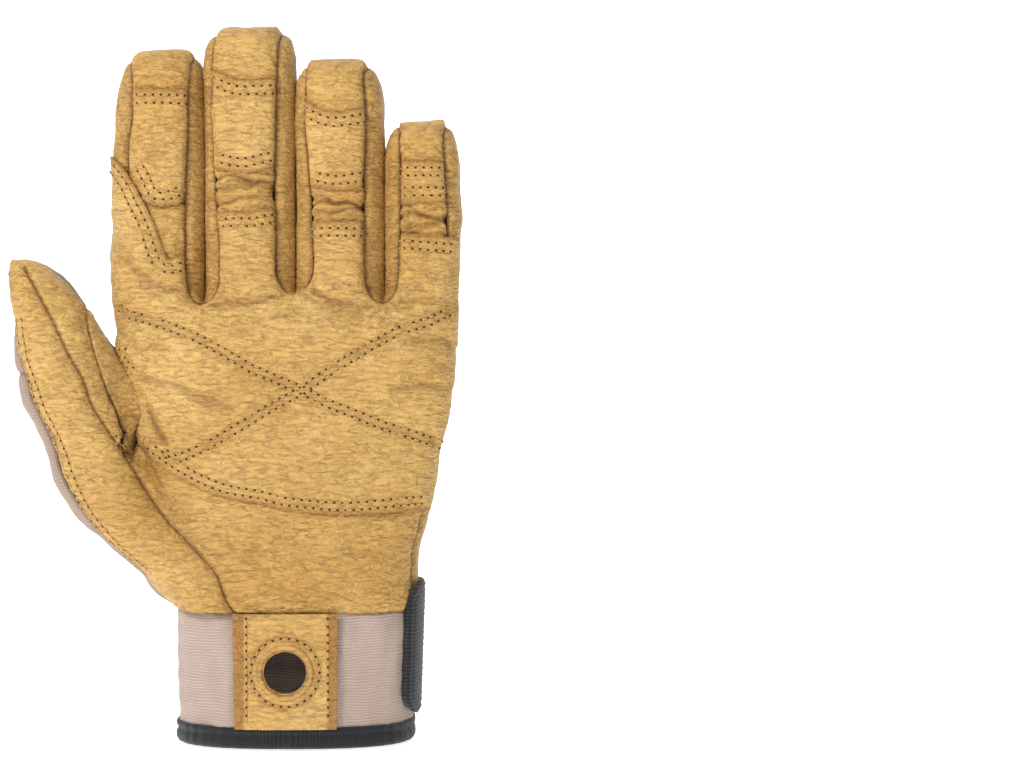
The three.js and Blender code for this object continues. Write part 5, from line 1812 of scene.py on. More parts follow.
@dataclass
class FingerPiece:
    """Front of a finger, face -1, or its back, face 1; its borders close over the tip."""

    f: Finger
    face: int
    shell: Shell = field(init=False)

    def __post_init__(self) -> None:
        """Lays out the piece."""
        f, face = self.f, self.face
        columns = count_for(f.width, 1.0 if face < 0 else 1.4)
        part = np.linspace(0, 1, columns + 1)
        rows_x, rows_z = [], []
        for angle in np.radians(np.linspace(0, 90, 12)):
            a, b = (seam_round(f, side, angle, 0.06, face) for side in (-1, 1))
            rows_x.append(mix(a[0], b[0], part))
            rows_z.append(mix(a[1], b[1], part))
        low = CROTCH_LINE + CROTCH_DEPTH + (-BACK_CROTCH_DROP if face > 0 else 0)
        high = f.top - f.tip
        body = np.linspace(low, high, count_for(high - low, 1.0 if face < 0 else 1.4))[1:]
        start = rows_z[-1]
        for level in body:
            share = (level - low) / (high - low)
            z = mix(start, high, share)
            rows_z.append(z)
            rows_x.append(mix(self.border(-1, z), self.border(1, z), part))
        for angle in np.radians(np.linspace(0, 90, 22)[1:]):
            z = np.full_like(part, high + f.tip * math.sin(angle) - 1e-4)
            rows_z.append(z)
            rows_x.append(mix(self.border(-1, z), self.border(1, z), part))
        grid = FORM.points(np.array(rows_x), np.array(rows_z), face)
        self.shell = Shell.from_grids([grid], np.array([0.0, face, 0]))
        self.relief()

    def border(self, side: int, z: Array) -> Array:
        """Border beside the strip, which runs out to the edge over the round of the tip.

        Args:
            side: -1 for the left and 1 for the right.
            z: heights.

        Returns:
            The border's x.
        """
        f = self.f
        s = FORM.finger(f, z)
        edge = s.left if side < 0 else s.right
        seam = f.seam_x(side, z) if f.crotch(side) else FORM.outer_seam_x(side, z, self.face)
        return mix(seam, edge, run_out(f.top, f.tip, z))

    def relief(self) -> None:
        """Seams, creases and handling."""
        p, d = self.shell.points, self.shell.distance
        tip = ease((p[:, 2] - self.f.top + 2.6) / 2.4)
        rise = (sewn(self.shell, 1.0, 0.3) + pucker(p, d)) * (1 - 0.9 * tip) + handled(p)
        shade = seam_shade(d) * (1 - 0.9 * tip)
        if self.face < 0:
            creases, shade = finger_creases(p, shade)
            rise = rise + creases
        small = groove(CREASE_FIELD(p + 40), 0.1)
        self.shell.raise_by(rise - 0.16 * small)
        self.shell.shade = shade_from(self.shell, shade + 0.05 * small)

    def build(self) -> None:
        """Makes the piece."""
        name = self.f.name
        if self.face < 0:
            front = leather_body(f"{name}_finger_front", self.shell, LEATHER, GOLD)
            place(front, "leather", f"{name}_front")
            return
        cloth = leather_body(f"{name}_finger_back", self.shell, CLOTH, BACK_CLOTH)
        place(cloth, "woven_cloth", f"{name}_back")


@dataclass
class FingerPatch:
    """Patch on a finger's front, with raw edges; its sizes place the rows of stitches."""

    f: Finger
    lower_rows: tuple[float, float] = (2.0, 4.4)
    upper_rows: tuple[float, float] = (-2.1, -4.5)
    shell: Shell = field(init=False)

    def __post_init__(self) -> None:
        """Lays out the piece."""
        f = self.f
        part = np.linspace(0, 1, count_for(f.width) + 1)
        rows = []
        low = CROTCH_LINE + f.length * f.patch["lower"](part) + fray(part * f.width, f.x + 2)
        high = CROTCH_LINE + f.length * f.patch["upper"](part) + fray(part * f.width, f.x + 4)
        for t in np.linspace(0, 1, count_for(f.length * 0.4)):
            z = mix(low, high, t)
            rows.append(np.stack([mix(self.border(-1, z), self.border(1, z), part), z]))
        grid = np.array(rows)
        surface = FORM.points(grid[:, 0], grid[:, 1], -1)
        self.shell = Shell.from_grids([surface], np.array([0.0, -1, 0]))
        p, d = self.shell.points, self.shell.distance
        sides = np.minimum(*(np.abs(p[:, 0] - self.border(side, p[:, 2])) for side in (-1, 1)))
        self.shell.raw = groove(Shell.distance_to(p, np.concatenate([surface[0], surface[-1]])), 1.1)
        rise = LAP_GAP + PATCH_LEATHER + 0.05 + handled(p)
        rise += -0.2 * groove(d, 0.45) - 2.2 * groove(sides, 1.2)
        rise += 0.3 * (1 - groove(d, 6)) - 0.22 * groove(d - 3.4, 2.0)
        small = groove(CREASE_FIELD(p + 90), 0.09)
        self.shell.raise_by(rise - 0.12 * small)
        # Painted shade: a dark line where each side dips into the seam, a little along the raw edges, and in
        # small creases.
        dark = 0.12 * groove(d, 0.8) + 0.85 * groove(sides, 0.6) + 0.04 * small
        self.shell.shade = shade_from(self.shell, dark)

    def border(self, side: int, z: Array) -> Array:
        """Border of the patch at the finger's seam.

        Args:
            side: -1 for the left and 1 for the right.
            z: heights.

        Returns:
            The border's x.
        """
        f = self.f
        seam = f.seam_x(side, z) if f.crotch(side) else FORM.outer_seam_x(side, z, -1)
        return seam - side * 0.12

    def build(self) -> None:
        """Makes the piece."""
        name = self.f.name
        obj = leather_body(f"{name}_finger_patch", self.shell, PATCH_LEATHER, PATCH_GOLD, RAW_EDGE)
        place(obj, "patch_leather", f"{name}_patch")

    def sew(self, thread: Thread) -> None:
        """Two rows inside each of its lower and upper edges.

        Args:
            thread: collects the rows.
        """
        part = np.linspace(0.05, 0.95, 40)
        for edge, insets in (("lower", self.lower_rows), ("upper", self.upper_rows)):
            z = CROTCH_LINE + self.f.length * self.f.patch[edge](part)
            line = np.stack([mix(self.border(-1, z), self.border(1, z), part), z], 1)
            for inset in insets:
                thread.row_on(self.shell, shifted(line, inset))


@dataclass
class CrotchStrip:
    """Strip between a finger and the one after it: down one, round the crotch and up the other."""

    f: Finger
    after: Finger
    share: Array = field(init=False)
    face: Array = field(init=False)
    crotch_x: float = field(init=False)
    crotch_z: float = field(init=False)
    shell: Shell = field(init=False)

    def __post_init__(self) -> None:
        """Lays out the strip."""
        f, after = self.f, self.after
        self.crotch_x, self.crotch_z = f.crotch_right
        self.share, self.face = strip_columns(13)
        rows = []
        for owner, side in ((f, 1), (after, -1)):
            leg = [self.round_row(owner, side, angle) for angle in np.radians(np.linspace(0, 90, 14))]
            base = self.crotch_z + CROTCH_DEPTH
            top = strip_top(owner)
            levels = np.linspace(base, top, count_for(top - base, 1.4))[1:]
            leg += [self.leg_row(owner, side, z) for z in levels]
            rows += leg[::-1] if side > 0 else leg[1:]
        self.shell = Shell.from_grids([np.array(rows)], self.toward)
        p, d = self.shell.points, self.shell.distance
        self.shell.raise_by(sewn(self.shell, 1.0, 0.85) + 0.4 * handled(p) + pucker(p, d))
        self.shell.shade = shade_from(self.shell, seam_shade(d))

    def toward(self, points: Array) -> Array:
        """Directions from each finger to the gap between them."""
        still = 0 * points[:, 0]
        return np.stack([np.sign(self.crotch_x - points[:, 0]), still, still], axis=1)

    def row(
        self,
        owner: Finger,
        seams: dict[int, tuple[float, float]],
        ridge: tuple[float, float],
        level: float,
        turn: float,
    ) -> Array:
        """Points across the strip from the front seam over the ridge to the back seam.

        The depth falls from each seam's to the finger's middle plane as the finger's own superellipse does.

        Args:
            owner: the finger that the strip is on.
            seams: place of the front seam, -1, and the back seam, 1, as (x, z).
            ridge: place of the ridge as (x, z).
            level: height at which the finger's section counts.
            turn: 0 at the crotch's lowest point and 1 on the finger.

        Returns:
            The points, one row to a column.
        """
        s = FORM.finger(owner, np.array([level]))
        left, right, plane = float(s.left[0]), float(s.right[0]), float(s.plane[0])
        x = np.where(self.face < 0, seams[-1][0], seams[1][0])
        z = np.where(self.face < 0, seams[-1][1], seams[1][1])
        q = np.clip(np.abs((x - (left + right) / 2) / ((right - left) / 2)), 0, 0.97)
        start = mix(0.7, q, turn)
        depth = np.where(self.face < 0, FORM.skin_y(x, z, -1), FORM.skin_y(x, z, 1))
        fall = arch(mix(start, 1, self.share), FINGER_POWER) / arch(start, FINGER_POWER)
        y = mix(plane, depth, fall)
        return np.stack([mix(x, ridge[0], self.share), y, mix(z, ridge[1], self.share)], 1)

    def leg_row(self, owner: Finger, side: int, z: float) -> Array:
        """Row on a finger: the back seam starts lower than the front one and comes level with it.

        Args:
            owner: the finger.
            side: its side, -1 or 1.
            z: the front seam's height.

        Returns:
            The row's points.
        """
        base = self.crotch_z + CROTCH_DEPTH
        lag = BACK_CROTCH_DROP * (1 - float(ease(np.array((z - base) / 24))))
        seams = {}
        for face, drop in ((-1, 0.0), (1, lag)):
            height = np.array([z - drop])
            s = FORM.finger(owner, height)
            edge = s.left if side < 0 else s.right
            out = run_out(owner.top, owner.tip, height)
            seams[face] = (float(mix(owner.seam_x(side, height), edge, out)[0]), z - drop)
        ridge_z = z - lag / 2
        s = FORM.finger(owner, np.array([ridge_z]))
        ridge_x = float((s.left if side < 0 else s.right)[0])
        return self.row(owner, seams, (ridge_x, ridge_z), ridge_z, 1.0)

    def round_row(self, owner: Finger, side: int, angle: float) -> Array:
        """Row where the strip rounds the crotch.

        Args:
            owner: the finger.
            side: its side, -1 or 1.
            angle: from the crotch's lowest point, in radians.

        Returns:
            The row's points.
        """
        seams = {v: seam_round(owner, side, angle, -0.06, v) for v in (-1, 1)}
        sin, cos = math.sin(angle), math.cos(angle)
        ridge_x = self.crotch_x - side * FINGER_GAP * sin / 2
        middle = self.crotch_z + CROTCH_DEPTH - BACK_CROTCH_DROP / 2
        ridge_z = middle - (CROTCH_DEPTH - CROTCH_ROLL) * cos
        return self.row(owner, seams, (ridge_x, ridge_z), CROTCH_LINE + CROTCH_DEPTH, sin)

    def build(self) -> None:
        """Makes the strip."""
        names = f"{self.f.name}_{self.after.name}"
        strip = leather_body(f"{names}_strip", self.shell, LEATHER, SIDE_GOLD)
        place(strip, "side_leather", f"{names}_side")


@dataclass
class OuterStrip:
    """Strip round the hand's outer edge from a height, bottom, up its outer finger.

    The side is -1 or 1, and the node is the CAD node that it stands for.
    """

    f: Finger
    side: int
    bottom: float
    node: str
    shell: Shell = field(init=False)

    def __post_init__(self) -> None:
        """Lays out the strip."""
        f, side = self.f, self.side
        share, face = strip_columns(11)
        top = strip_top(f)
        levels = np.linspace(self.bottom, top, count_for(top - self.bottom, 1.3))
        z = levels[:, None] + 0 * share
        edge = FORM.edge_x(z, side)
        seam = np.where(face < 0, *(FORM.outer_seam_x(side, z, v) for v in (-1, 1)))
        seam = mix(seam, edge, run_out(f.top, f.tip, z))
        x = mix(seam, edge, share)
        front, back = (FORM.skin_y(x, z, v, Skin.HAND) for v in (-1, 1))
        grid = np.stack([x, np.where(face < 0, front, back), z], axis=-1)
        self.shell = Shell.from_grids([grid], np.array([float(side), 0, 0]))
        p, d = self.shell.points, self.shell.distance
        bend = groove(CREASE_FIELD(p + 15), 0.14)
        rise = sewn(self.shell, 1.0, 0.3) + handled(p) * 0.8 + pucker(p, d)
        self.shell.raise_by(rise - 0.3 * bend)
        self.shell.shade = shade_from(self.shell, seam_shade(d) + 0.1 * bend)

    def build(self) -> None:
        """Makes the strip."""
        name = self.node.replace("side", "edge_strip")
        place(leather_body(name, self.shell, LEATHER, SIDE_GOLD), "side_leather", self.node)


@dataclass
class Thumb:
    """The thumb's leather pieces, its web and its woven back.

    Its sizes are the web's wall, the widths that the web tucks under the thumb's leather and the palm's,
    the rows of stitches beside the cloth and the drops of those across the inner leather.
    """

    web_wall: float = 0.45
    tucks: tuple[float, float] = (2.2, 2.6)
    rows: tuple[float, float] = (1.7, 4.1)
    drops: tuple[float, float] = (0.0, 2.4)
    z: Array = field(init=False)
    outer: Shell = field(init=False)
    inner: Shell = field(init=False)
    web: Shell = field(init=False)
    back: Shell = field(init=False)

    def __post_init__(self) -> None:
        """Lays out the pieces."""
        low = np.linspace(CUFF_TOP - 0.9, THUMB_TOP - THUMB_TIP, count_for(108))
        tip = THUMB_TOP - THUMB_TIP * (1 - np.sin(np.radians(np.linspace(0, 90, 26)[1:])))
        self.z = np.concatenate([low, tip - 1e-4])
        self.outer = self.make_outer()
        self.inner = self.make_inner()
        self.web = self.make_web()
        self.back = self.make_back()

    @staticmethod
    def leather(
        grid: Array, toward: Array, dip: float = 1.0, flow: Array | None = None
    ) -> Shell:
        """Surface with the relief that the thumb's pieces have.

        Args:
            grid: its points.
            toward: direction that its faces look in.
            dip: how deep its seams lie.
            flow: place of each point in the weave, if it is cloth.

        Returns:
            The surface.
        """
        shell = Shell.from_grids([grid], toward, None if flow is None else [flow])
        p, d = shell.points, shell.distance
        small = groove(CREASE_FIELD(p + 70), 0.11)
        calm = ease((d - 0.4) / 3)
        tip = ease((p[:, 2] - THUMB_TOP + 4) / 3)
        rise = (sewn(shell, dip, 0.35) + pucker(p, d)) * (1 - 0.95 * tip) + handled(p)
        shell.raise_by(rise - 0.1 * small * calm)
        shell.shade = shade_from(shell, seam_shade(d) * (1 - tip) + 0.03 * small)
        return shell

    @staticmethod
    def border(z: Array) -> Array:
        """Border between leather and cloth, which runs out to the edge over the round of the tip."""
        out = run_out(THUMB_TOP, THUMB_TIP, z, 30.0, 35.0)
        return mix(thumb_leather_x(z), FORM.thumb(z).left, out)

    def make_outer(self) -> Shell:
        """Leather on the outer half of the front."""
        z = self.z[:, None]
        part = np.linspace(0, 1, count_for(27))
        share = mix(part, 1 - np.cos(part * math.pi / 2), 0.6)
        x = mix(self.border(z), thumb_seam_x(z), share)
        grid = FORM.points(x, z + 0 * x, -1, Skin.THUMB_SIDE)
        return self.leather(grid, np.array([0.0, -1, 0]))

    def make_inner(self) -> Shell:
        """Leather from the long seam to the web's seam and, above it, over the edge."""
        z = self.z[self.z > WEB_FOOT - WEB_JOG + 0.4][:, None]
        end = np.where(z < WEB_FOOT, self.foot_x(z), web_x(0, z))
        end = mix(end, FORM.thumb(z).right, self.free(z))
        part = np.linspace(0, 1, count_for(18))
        x = mix(thumb_seam_x(z), end, np.sin(part * math.pi / 2))
        grid = FORM.points(x, z + 0 * x, -1, Skin.THUMB_SIDE)
        return self.leather(grid, np.array([0.3, -1, 0]))

    @staticmethod
    def free(z: Array) -> Array:
        """0 beside the web and 1 above it."""
        return ease((z - (CUFF_TOP + WEB_TOP - 3)) / 3)

    @staticmethod
    def foot_x(z: Array) -> Array:
        """Line from the long seam to the web's foot, under the web."""
        foot = web_x(0, np.full_like(z, WEB_FOOT))
        return mix(thumb_seam_x(z), foot, np.clip(1 - (WEB_FOOT - z) / WEB_JOG, 0, 1))

    def make_web(self) -> Shell:
        """Web: a membrane from the thumb's seam to the palm's that passes over the edge to the back."""
        across = np.linspace(0, 1, count_for(14))
        rows = []
        top = 0.97

        def side_row(up: float, face: int) -> Array:
            """Row from the thumb's seam to the palm's.

            Args:
                up: share of the web's height.
                face: -1 for the palm side and 1 for the back.

            Returns:
                The row's points.
            """
            ends = []
            for a, skin in ((0.0, Skin.THUMB_SIDE), (1.0, Skin.PALM if face < 0 else Skin.HAND)):
                x, z = web_point(a, up)
                ends.append(FORM.points(np.array([x]), np.array([z]), face, skin)[0])
            row = mix(ends[0], ends[1], across[:, None])
            row[:, 1] += -face * 1.6 * np.sin(across * math.pi) * min(1.0, up * 3)
            return under(row, -face)

        def under(row: Array, inward: float) -> Array:
            """The row with a tuck under the leather at each end.

            Args:
                row: the row's points.
                inward: how far the tucks go in.

            Returns:
                The longer row.
            """
            left = row[0] + np.array([-self.tucks[0], inward, 0])
            right = row[-1] + np.array([self.tucks[1], inward, 0])
            return np.concatenate([[left], row, [right]])

        for z in np.linspace(WEB_FOOT - WEB_JOG + 0.5, WEB_FOOT, 14)[:-1]:
            where = np.array([z])
            start = FORM.points(self.foot_x(where), where, -1, Skin.THUMB_SIDE)[0]
            end = FORM.points(palm_left_x(where), where, -1, Skin.PALM)[0]
            rows.append(under(mix(start, end, across[:, None]), 1.0 + 0.35 * (WEB_FOOT - z)))
        for up in np.linspace(0, top, count_for(36)):
            rows.append(side_row(up, -1))
        front_end = rows[-1]
        back_start = side_row(top, 1)
        x, z = web_point(across, 1.0)
        x = np.concatenate([x[:1] - self.tucks[0], x, x[-1:] + self.tucks[0]])
        z = np.concatenate([z[:1], z, z[-1:]])
        for t in np.linspace(0, 1, 12)[1:-1]:
            bend = math.sin(t * math.pi)
            row = mix(front_end, back_start, 0.5 - 0.5 * math.cos(t * math.pi))
            row[:, 2] = mix(row[:, 2], z, bend)
            row[:, 0] = mix(row[:, 0], x, bend)
            rows.append(row)
        rows.append(back_start)
        for up in np.linspace(top, BACK_SHARE, 12)[1:]:
            rows.append(side_row(up, 1))
        return self.leather(np.array(rows), np.array([0.4, -1, 0.6]))

    def back_right_x(self, z: Array) -> Array:
        """Right border of the thumb's back.

        Args:
            z: heights.

        Returns:
            The border's x.
        """
        x0, z0 = web_point(0, BACK_SHARE)
        x1, z1 = web_point(1, BACK_SHARE)
        beside = mix(x1, x0, np.clip((z - z1) / (z0 - z1), 0, 1))
        held = np.where(z > z0, web_x(0, z), beside)
        return mix(held, FORM.thumb(z).right, self.free(z))

    @staticmethod
    def column_x(z: Array) -> Array:
        """Column that the thumb's part of the hand's back shares with the rest."""
        x, bottom = web_point(1, BACK_SHARE)
        return mix(-CUFF_WIDTH / 2 + 13, x, ease((z - CUFF_TOP) / (bottom - CUFF_TOP)))

    def back_grid(self, z: Array, right: Array, step: float = 1.5) -> tuple[Array, Array]:
        """Cloth from the leather's edge round the outer edge and over the back.

        Args:
            z: heights of its rows, as one column.
            right: its right border at each.
            step: distance between its columns behind.

        Returns:
            Its points, and the place of each in the weave.
        """
        s = FORM.thumb(z)
        part = np.linspace(0, 1, 12)
        front_x = mix(self.border(z), s.left, np.sin(part * math.pi / 2))
        front = FORM.points(front_x, z + 0 * front_x, -1, Skin.THUMB_SIDE)
        wide = np.linspace(0, 1, count_for(38, step))
        back_x = mix(s.left, right, 1 - np.cos(wide * math.pi / 2))
        skin = Skin.THUMB_SIDE if float(z.min()) > WEB_FOOT + 14 else Skin.BOTH
        back = FORM.points(back_x, z + 0 * back_x, 1, skin)
        grid = np.concatenate([front, back[:, 1:]], axis=1)
        edge = len(part) - 1
        grid[:, edge, 1] = (grid[:, edge - 1, 1] + grid[:, edge + 1, 1]) / 2
        run = np.linalg.norm(np.diff(grid, axis=1), axis=2).cumsum(axis=1)
        flow = np.stack([np.concatenate([0 * run[:, :1], run], 1), grid[..., 2]], axis=-1)
        return grid, flow

    def make_back(self) -> Shell:
        """Woven back of the thumb above the hand's."""
        bottom = web_point(1, BACK_SHARE)[1]
        z = np.concatenate([[bottom], self.z[self.z > bottom]])[:, None]
        grid, flow = self.back_grid(z, self.back_right_x(z))
        return self.leather(grid, np.array([-0.5, 1.0, 0]), 0.8, flow)

    def build(self) -> None:
        """Makes the pieces."""
        for node, shell, wall, finish in (
            ("thumb_outer", self.outer, LEATHER, GOLD),
            ("thumb_inner", self.inner, LEATHER, GOLD),
            ("thumb_web", self.web, self.web_wall, PATCH_GOLD),
        ):
            place(leather_body(f"{node}_leather", shell, wall, finish), "leather", node)
        cloth = leather_body("thumb_cloth", self.back, CLOTH, BACK_CLOTH)
        place(cloth, "woven_cloth", "thumb_back")

    def sew(self, thread: Thread) -> None:
        """Double rows beside the cloth, and across the inner leather.

        Args:
            thread: collects the rows.
        """
        z = np.linspace(CUFF_TOP + 12, CUFF_TOP + 88, 90)
        for inset in self.rows:
            thread.row_on(self.outer, np.stack([thumb_leather_x(z) + inset, z], 1))
        for drop in self.drops:
            line = np.array(from_photo([(112, 434), (128, 440)]))
            thread.row_on(self.inner, line - np.array([0, drop]))


def from_axis(points: Array) -> Array:
    """Directions away from the cuff's own axis."""
    return points * np.array([1.0, 1.0, 0.0])


@dataclass
class Back:
    """Woven back of the hand, in two grids that meet along one column; the thumb gives the left one."""

    thumb: Thumb
    shell: Shell = field(init=False)

    def __post_init__(self) -> None:
        """Lays out the panel."""
        bottom = web_point(1, BACK_SHARE)[1]
        line = np.array([CROTCH_LINE])
        ends = [float(FORM.outer_seam_x(side, line, 1)[0]) for side in (-1, 1)]
        across, _ = Palm.shares(*ends, 76)
        low = np.linspace(CUFF_TOP - 0.9, bottom, count_for(73, 1.5))
        left_grid, left_flow = self.thumb.back_grid(low[:, None], Thumb.column_x(low[:, None]))
        level = Palm.level(across, *ends, 1)
        steps = np.linspace(0, 1, count_for(14, 1.5))[1:]
        high = np.array([mix(bottom, level, t) for t in steps])
        z = np.concatenate([low[:, None] + 0 * across, high])
        beside = np.maximum(web_x(1, z) + 0.1, FORM.outer_seam_x(-1, z, 1))
        left = np.where(z <= bottom + 1e-9, Thumb.column_x(z), beside)
        x = mix(left, FORM.outer_seam_x(1, z, 1), across)
        hand = FORM.points(x, z, 1, Skin.BOTH)
        upper = FORM.points(x, z, 1, Skin.HAND)
        hand = mix(hand, upper, ease((z - bottom) / 6)[..., None])
        flow = np.stack([x + 40, z], axis=-1)
        toward = np.array([-0.3, 1.0, 0])
        self.shell = Shell.from_grids([left_grid, hand], toward, [left_flow, flow])
        p, d = self.shell.points, self.shell.distance
        soft = groove(Waves(21, (22, 22, 12))(p), 0.12)
        self.shell.raise_by(sewn(self.shell, 0.9, 0.3) + 1.2 * handled(p) - 0.05 * soft)
        self.shell.shade = shade_from(self.shell, seam_shade(d))

    def build(self) -> None:
        """Makes the cloth."""
        panel = leather_body("back_cloth_panel", self.shell, CLOTH, BACK_CLOTH)
        place(panel, "woven_cloth", "back_panel")


# Section of the hem's binding: how deep each corner lies in the wall, and its height, as shares
HEM_SECTION = np.array([
    (0.0, 0.16), (0.12, 0.05), (0.3, 0.0), (0.55, 0.0), (0.78, 0.05), (1.0, 0.2), (1.0, 0.5), (0.95, 0.8),
    (0.8, 0.95), (0.55, 1.02), (0.3, 1.02), (0.1, 0.98), (0.03, 0.85), (0.06, 0.74), (0.2, 0.64),
    (0.14, 0.56), (0.02, 0.46), (-0.02, 0.3),
]).T


@dataclass
class Cuff:
    """Knitted band, leather tab with its hole, hem, and closure strap.

    Its sizes are the lip's wall, the radius of the stitches round the hole, and the distances of the tab's
    stitches from its left and right edges.
    """

    lip_wall: float = 0.5
    ring_row: float = 10.2
    tab_rows: tuple[float, float] = (3.6, 2.4)
    band: Shell = field(init=False)
    tab: Shell = field(init=False)
    ring: Shell = field(init=False)

    def __post_init__(self) -> None:
        """Lays out the surfaces."""
        self.band = self.make_band()
        self.tab = self.make_tab()
        self.ring = self.make_ring()

    def make_band(self) -> Shell:
        """Knitted band, open behind the tab, with soft vertical ribs and a cross fold."""
        start = float(cuff_angle(TAB_WIDTH / 2 - TAB_LAP + TAB_SHIFT))
        end = 360 + float(cuff_angle(TAB_SHIFT + TAB_LAP - TAB_WIDTH / 2))
        z = np.linspace(HEM_HEIGHT - 0.6, CUFF_TOP - 0.1, count_for(35, 0.9))[:, None]
        turn = np.linspace(start, end, count_for(165, 0.75))
        grid = cuff_points(turn, z)
        run = np.concatenate([[0], np.linalg.norm(np.diff(grid[10], axis=0), axis=1).cumsum()])
        flow = np.stack(np.broadcast_arrays(run, z), axis=-1)
        shell = Shell.from_grids([grid], from_axis, [flow])
        p, d, f = shell.points, shell.distance, shell.flow
        ribs = 0.04 * np.cos(2 * math.pi * f[:, 0] / 2.3)
        bands = 0.1 * np.cos(2 * math.pi * (f[:, 1] - HEM_HEIGHT) / 6.9)
        gather = 0.22 * Waves(31, (9, 9, 30))(p)
        top = groove(f[:, 1] - CUFF_TOP, 1.6)
        shell.raise_by(ribs + bands + gather * (1 - top) - 0.7 * top)
        shell.shade = np.clip(0.85 * groove(f[:, 1] - CUFF_TOP, 0.9), 0, 1)
        return shell

    def make_tab(self) -> Shell:
        """Leather tab: rays from the hole's rim to the tab's outline."""
        half = TAB_WIDTH / 2 + 0.1
        low, high = HEM_HEIGHT - 0.4, CUFF_TOP - 0.1
        n = count_for(30, 0.9)
        t = np.linspace(0, 1, n, endpoint=False)
        corners = np.array([(-half, low), (half, low), (half, high), (-half, high), (-half, low)])
        sides = [mix(a, b, t[:, None]) for a, b in zip(corners[:-1], corners[1:])]
        outline = np.concatenate([*sides, corners[:1]])
        reach = np.hypot(outline[:, 0], outline[:, 1] - HOLE_HEIGHT)
        share = mix(HOLE_DIAMETER / 2 / reach, 1.0, np.linspace(0, 1, count_for(14, 0.8))[:, None])
        x = outline[:, 0] * share
        z = HOLE_HEIGHT + (outline[:, 1] - HOLE_HEIGHT) * share
        grid = cuff_points(cuff_angle(TAB_SHIFT + x), z, LAP_GAP + TAB_THICKNESS)
        shell = Shell.from_grids([grid], np.array([0.0, -1, 0]))
        p, d = shell.points, shell.distance
        far = np.hypot(p[:, 0] - TAB_SHIFT, p[:, 2] - HOLE_HEIGHT)
        rise = 0.36 * handled(p) - 0.15 * groove(d, 0.4)
        rise += 0.5 * groove(far - 8.1, 1.5) - 0.35 * groove(far - 10.4, 1.1)
        shell.raise_by(rise)
        # Painted shade in the groove round the hole and along the top edge, under the leather above.
        dark = 0.3 * groove(far - 10.4, 1.0) + 0.2 * groove(p[:, 2] - CUFF_TOP, 1.5)
        shell.shade = shade_from(shell, dark)
        shell.raw = ease((np.abs(p[:, 0] - TAB_SHIFT) - half + 3.2) / 0.7)
        return shell

    def make_ring(self) -> Shell:
        """Raised lip round the hole, turned in over its rim."""
        turn = np.linspace(0, 2 * math.pi, 96)
        bend = np.linspace(0, 1, 16)[:, None]
        radius = HOLE_DIAMETER / 2 + 0.2 + HOLE_RING_WIDTH * bend
        out = LAP_GAP * 2 + TAB_THICKNESS - 0.5 + 1.05 * np.sin(bend * math.pi) ** 0.6
        x = TAB_SHIFT + radius * np.cos(turn)
        z = HOLE_HEIGHT + radius * np.sin(turn)
        grid = cuff_points(cuff_angle(x), z, out)
        grid[:, -1] = grid[:, 0]
        inside = grid[0].copy()
        inside[:, 1] += 3.2
        grid = np.concatenate([inside[None], grid])
        shell = Shell.from_grids([grid], np.array([0.0, -1, 0]))
        shell.raise_by(0.05 * FINE_WAVES(shell.points * 2))
        far = np.hypot(shell.points[:, 0] - TAB_SHIFT, shell.points[:, 2] - HOLE_HEIGHT)
        past = far - HOLE_DIAMETER / 2
        shell.shade = np.clip(0.8 * groove(past - 0.2, 0.5) + 0.5 * groove(past - 2.4, 0.4), 0, 1)
        return shell

    def make_hem(self) -> tuple[Array, Array, Array]:
        """Binding turned over the wrist's edge: a rolled section with a groove, carried round.

        Returns:
            Its points, its faces, and the place of each point in the weave.
        """
        deep, up = HEM_SECTION
        count = count_for(190, 1.0)
        turn = np.linspace(0, 360, count, endpoint=False)[:, None]
        ripple = 0.12 * np.sin(np.radians(turn) * 41) * np.cos(np.radians(turn) * 7)
        grid = cuff_points(turn, HEM_HEIGHT * up, HEM_PROUD - HEM_WALL * deep + ripple)
        i = np.arange(count * len(up)).reshape(count, len(up))
        j = np.roll(i, -1, axis=0)
        corners = (i, np.roll(i, -1, axis=1), np.roll(j, -1, axis=1), j)
        faces = np.stack([v.ravel() for v in corners], 1)
        run = np.broadcast_to(turn / 360 * 190, grid.shape[:2])
        rise = np.broadcast_to(up * HEM_HEIGHT * 1.5, grid.shape[:2])
        cloth = np.stack([run, rise, 0 * run], -1).reshape(-1, 3) * MM
        return grid.reshape(-1, 3), faces, cloth

    def make_strap(self) -> Shell:
        """Closure strap with round corners at its free end."""
        foot = HEM_HEIGHT + STRAP_RISE
        up = np.linspace(0, STRAP_HEIGHT, count_for(40))[:, None]
        past = np.maximum(np.maximum(STRAP_CORNER - up, up - STRAP_HEIGHT + STRAP_CORNER), 0)
        inset = STRAP_CORNER - np.sqrt(np.maximum(0, STRAP_CORNER**2 - past**2))
        start = STRAP_START + np.degrees(inset / (CUFF_DEPTH / 2))
        turn = mix(start, STRAP_END, np.linspace(0, 1, count_for(40)))
        grid = cuff_points(turn, foot + up, LAP_GAP + STRAP_THICKNESS)
        flow = np.stack([turn * 0.55, foot + up + 0 * turn], -1)
        shell = Shell.from_grids([grid], from_axis, [flow])
        d = shell.distance
        ribs = 0.09 * np.cos(2 * math.pi * shell.flow[:, 1] / 1.9)
        shell.raise_by(ribs - 0.5 * groove(d, 0.7) - 0.2 * groove(d - 2.2, 0.5))
        shell.shade = np.clip(0.5 * groove(d - 2.2, 0.5), 0, 1)
        return shell

    def make_pad(self) -> Shell:
        """Pad that the strap closes on."""
        foot = HEM_HEIGHT + STRAP_RISE + STRAP_CORNER / 2
        z = np.linspace(foot, CUFF_TOP - STRAP_CORNER / 2, count_for(27, 1.5))[:, None]
        turn = np.linspace(STRAP_END + 2, PAD_END, count_for(30, 1.5))
        grid = cuff_points(turn, z, LAP_GAP + PAD_THICKNESS)
        shell = Shell.from_grids([grid], from_axis)
        shell.raise_by(-0.4 * groove(shell.distance, 0.8) + 0.1 * GRAIN(shell.points * 2.5))
        return shell

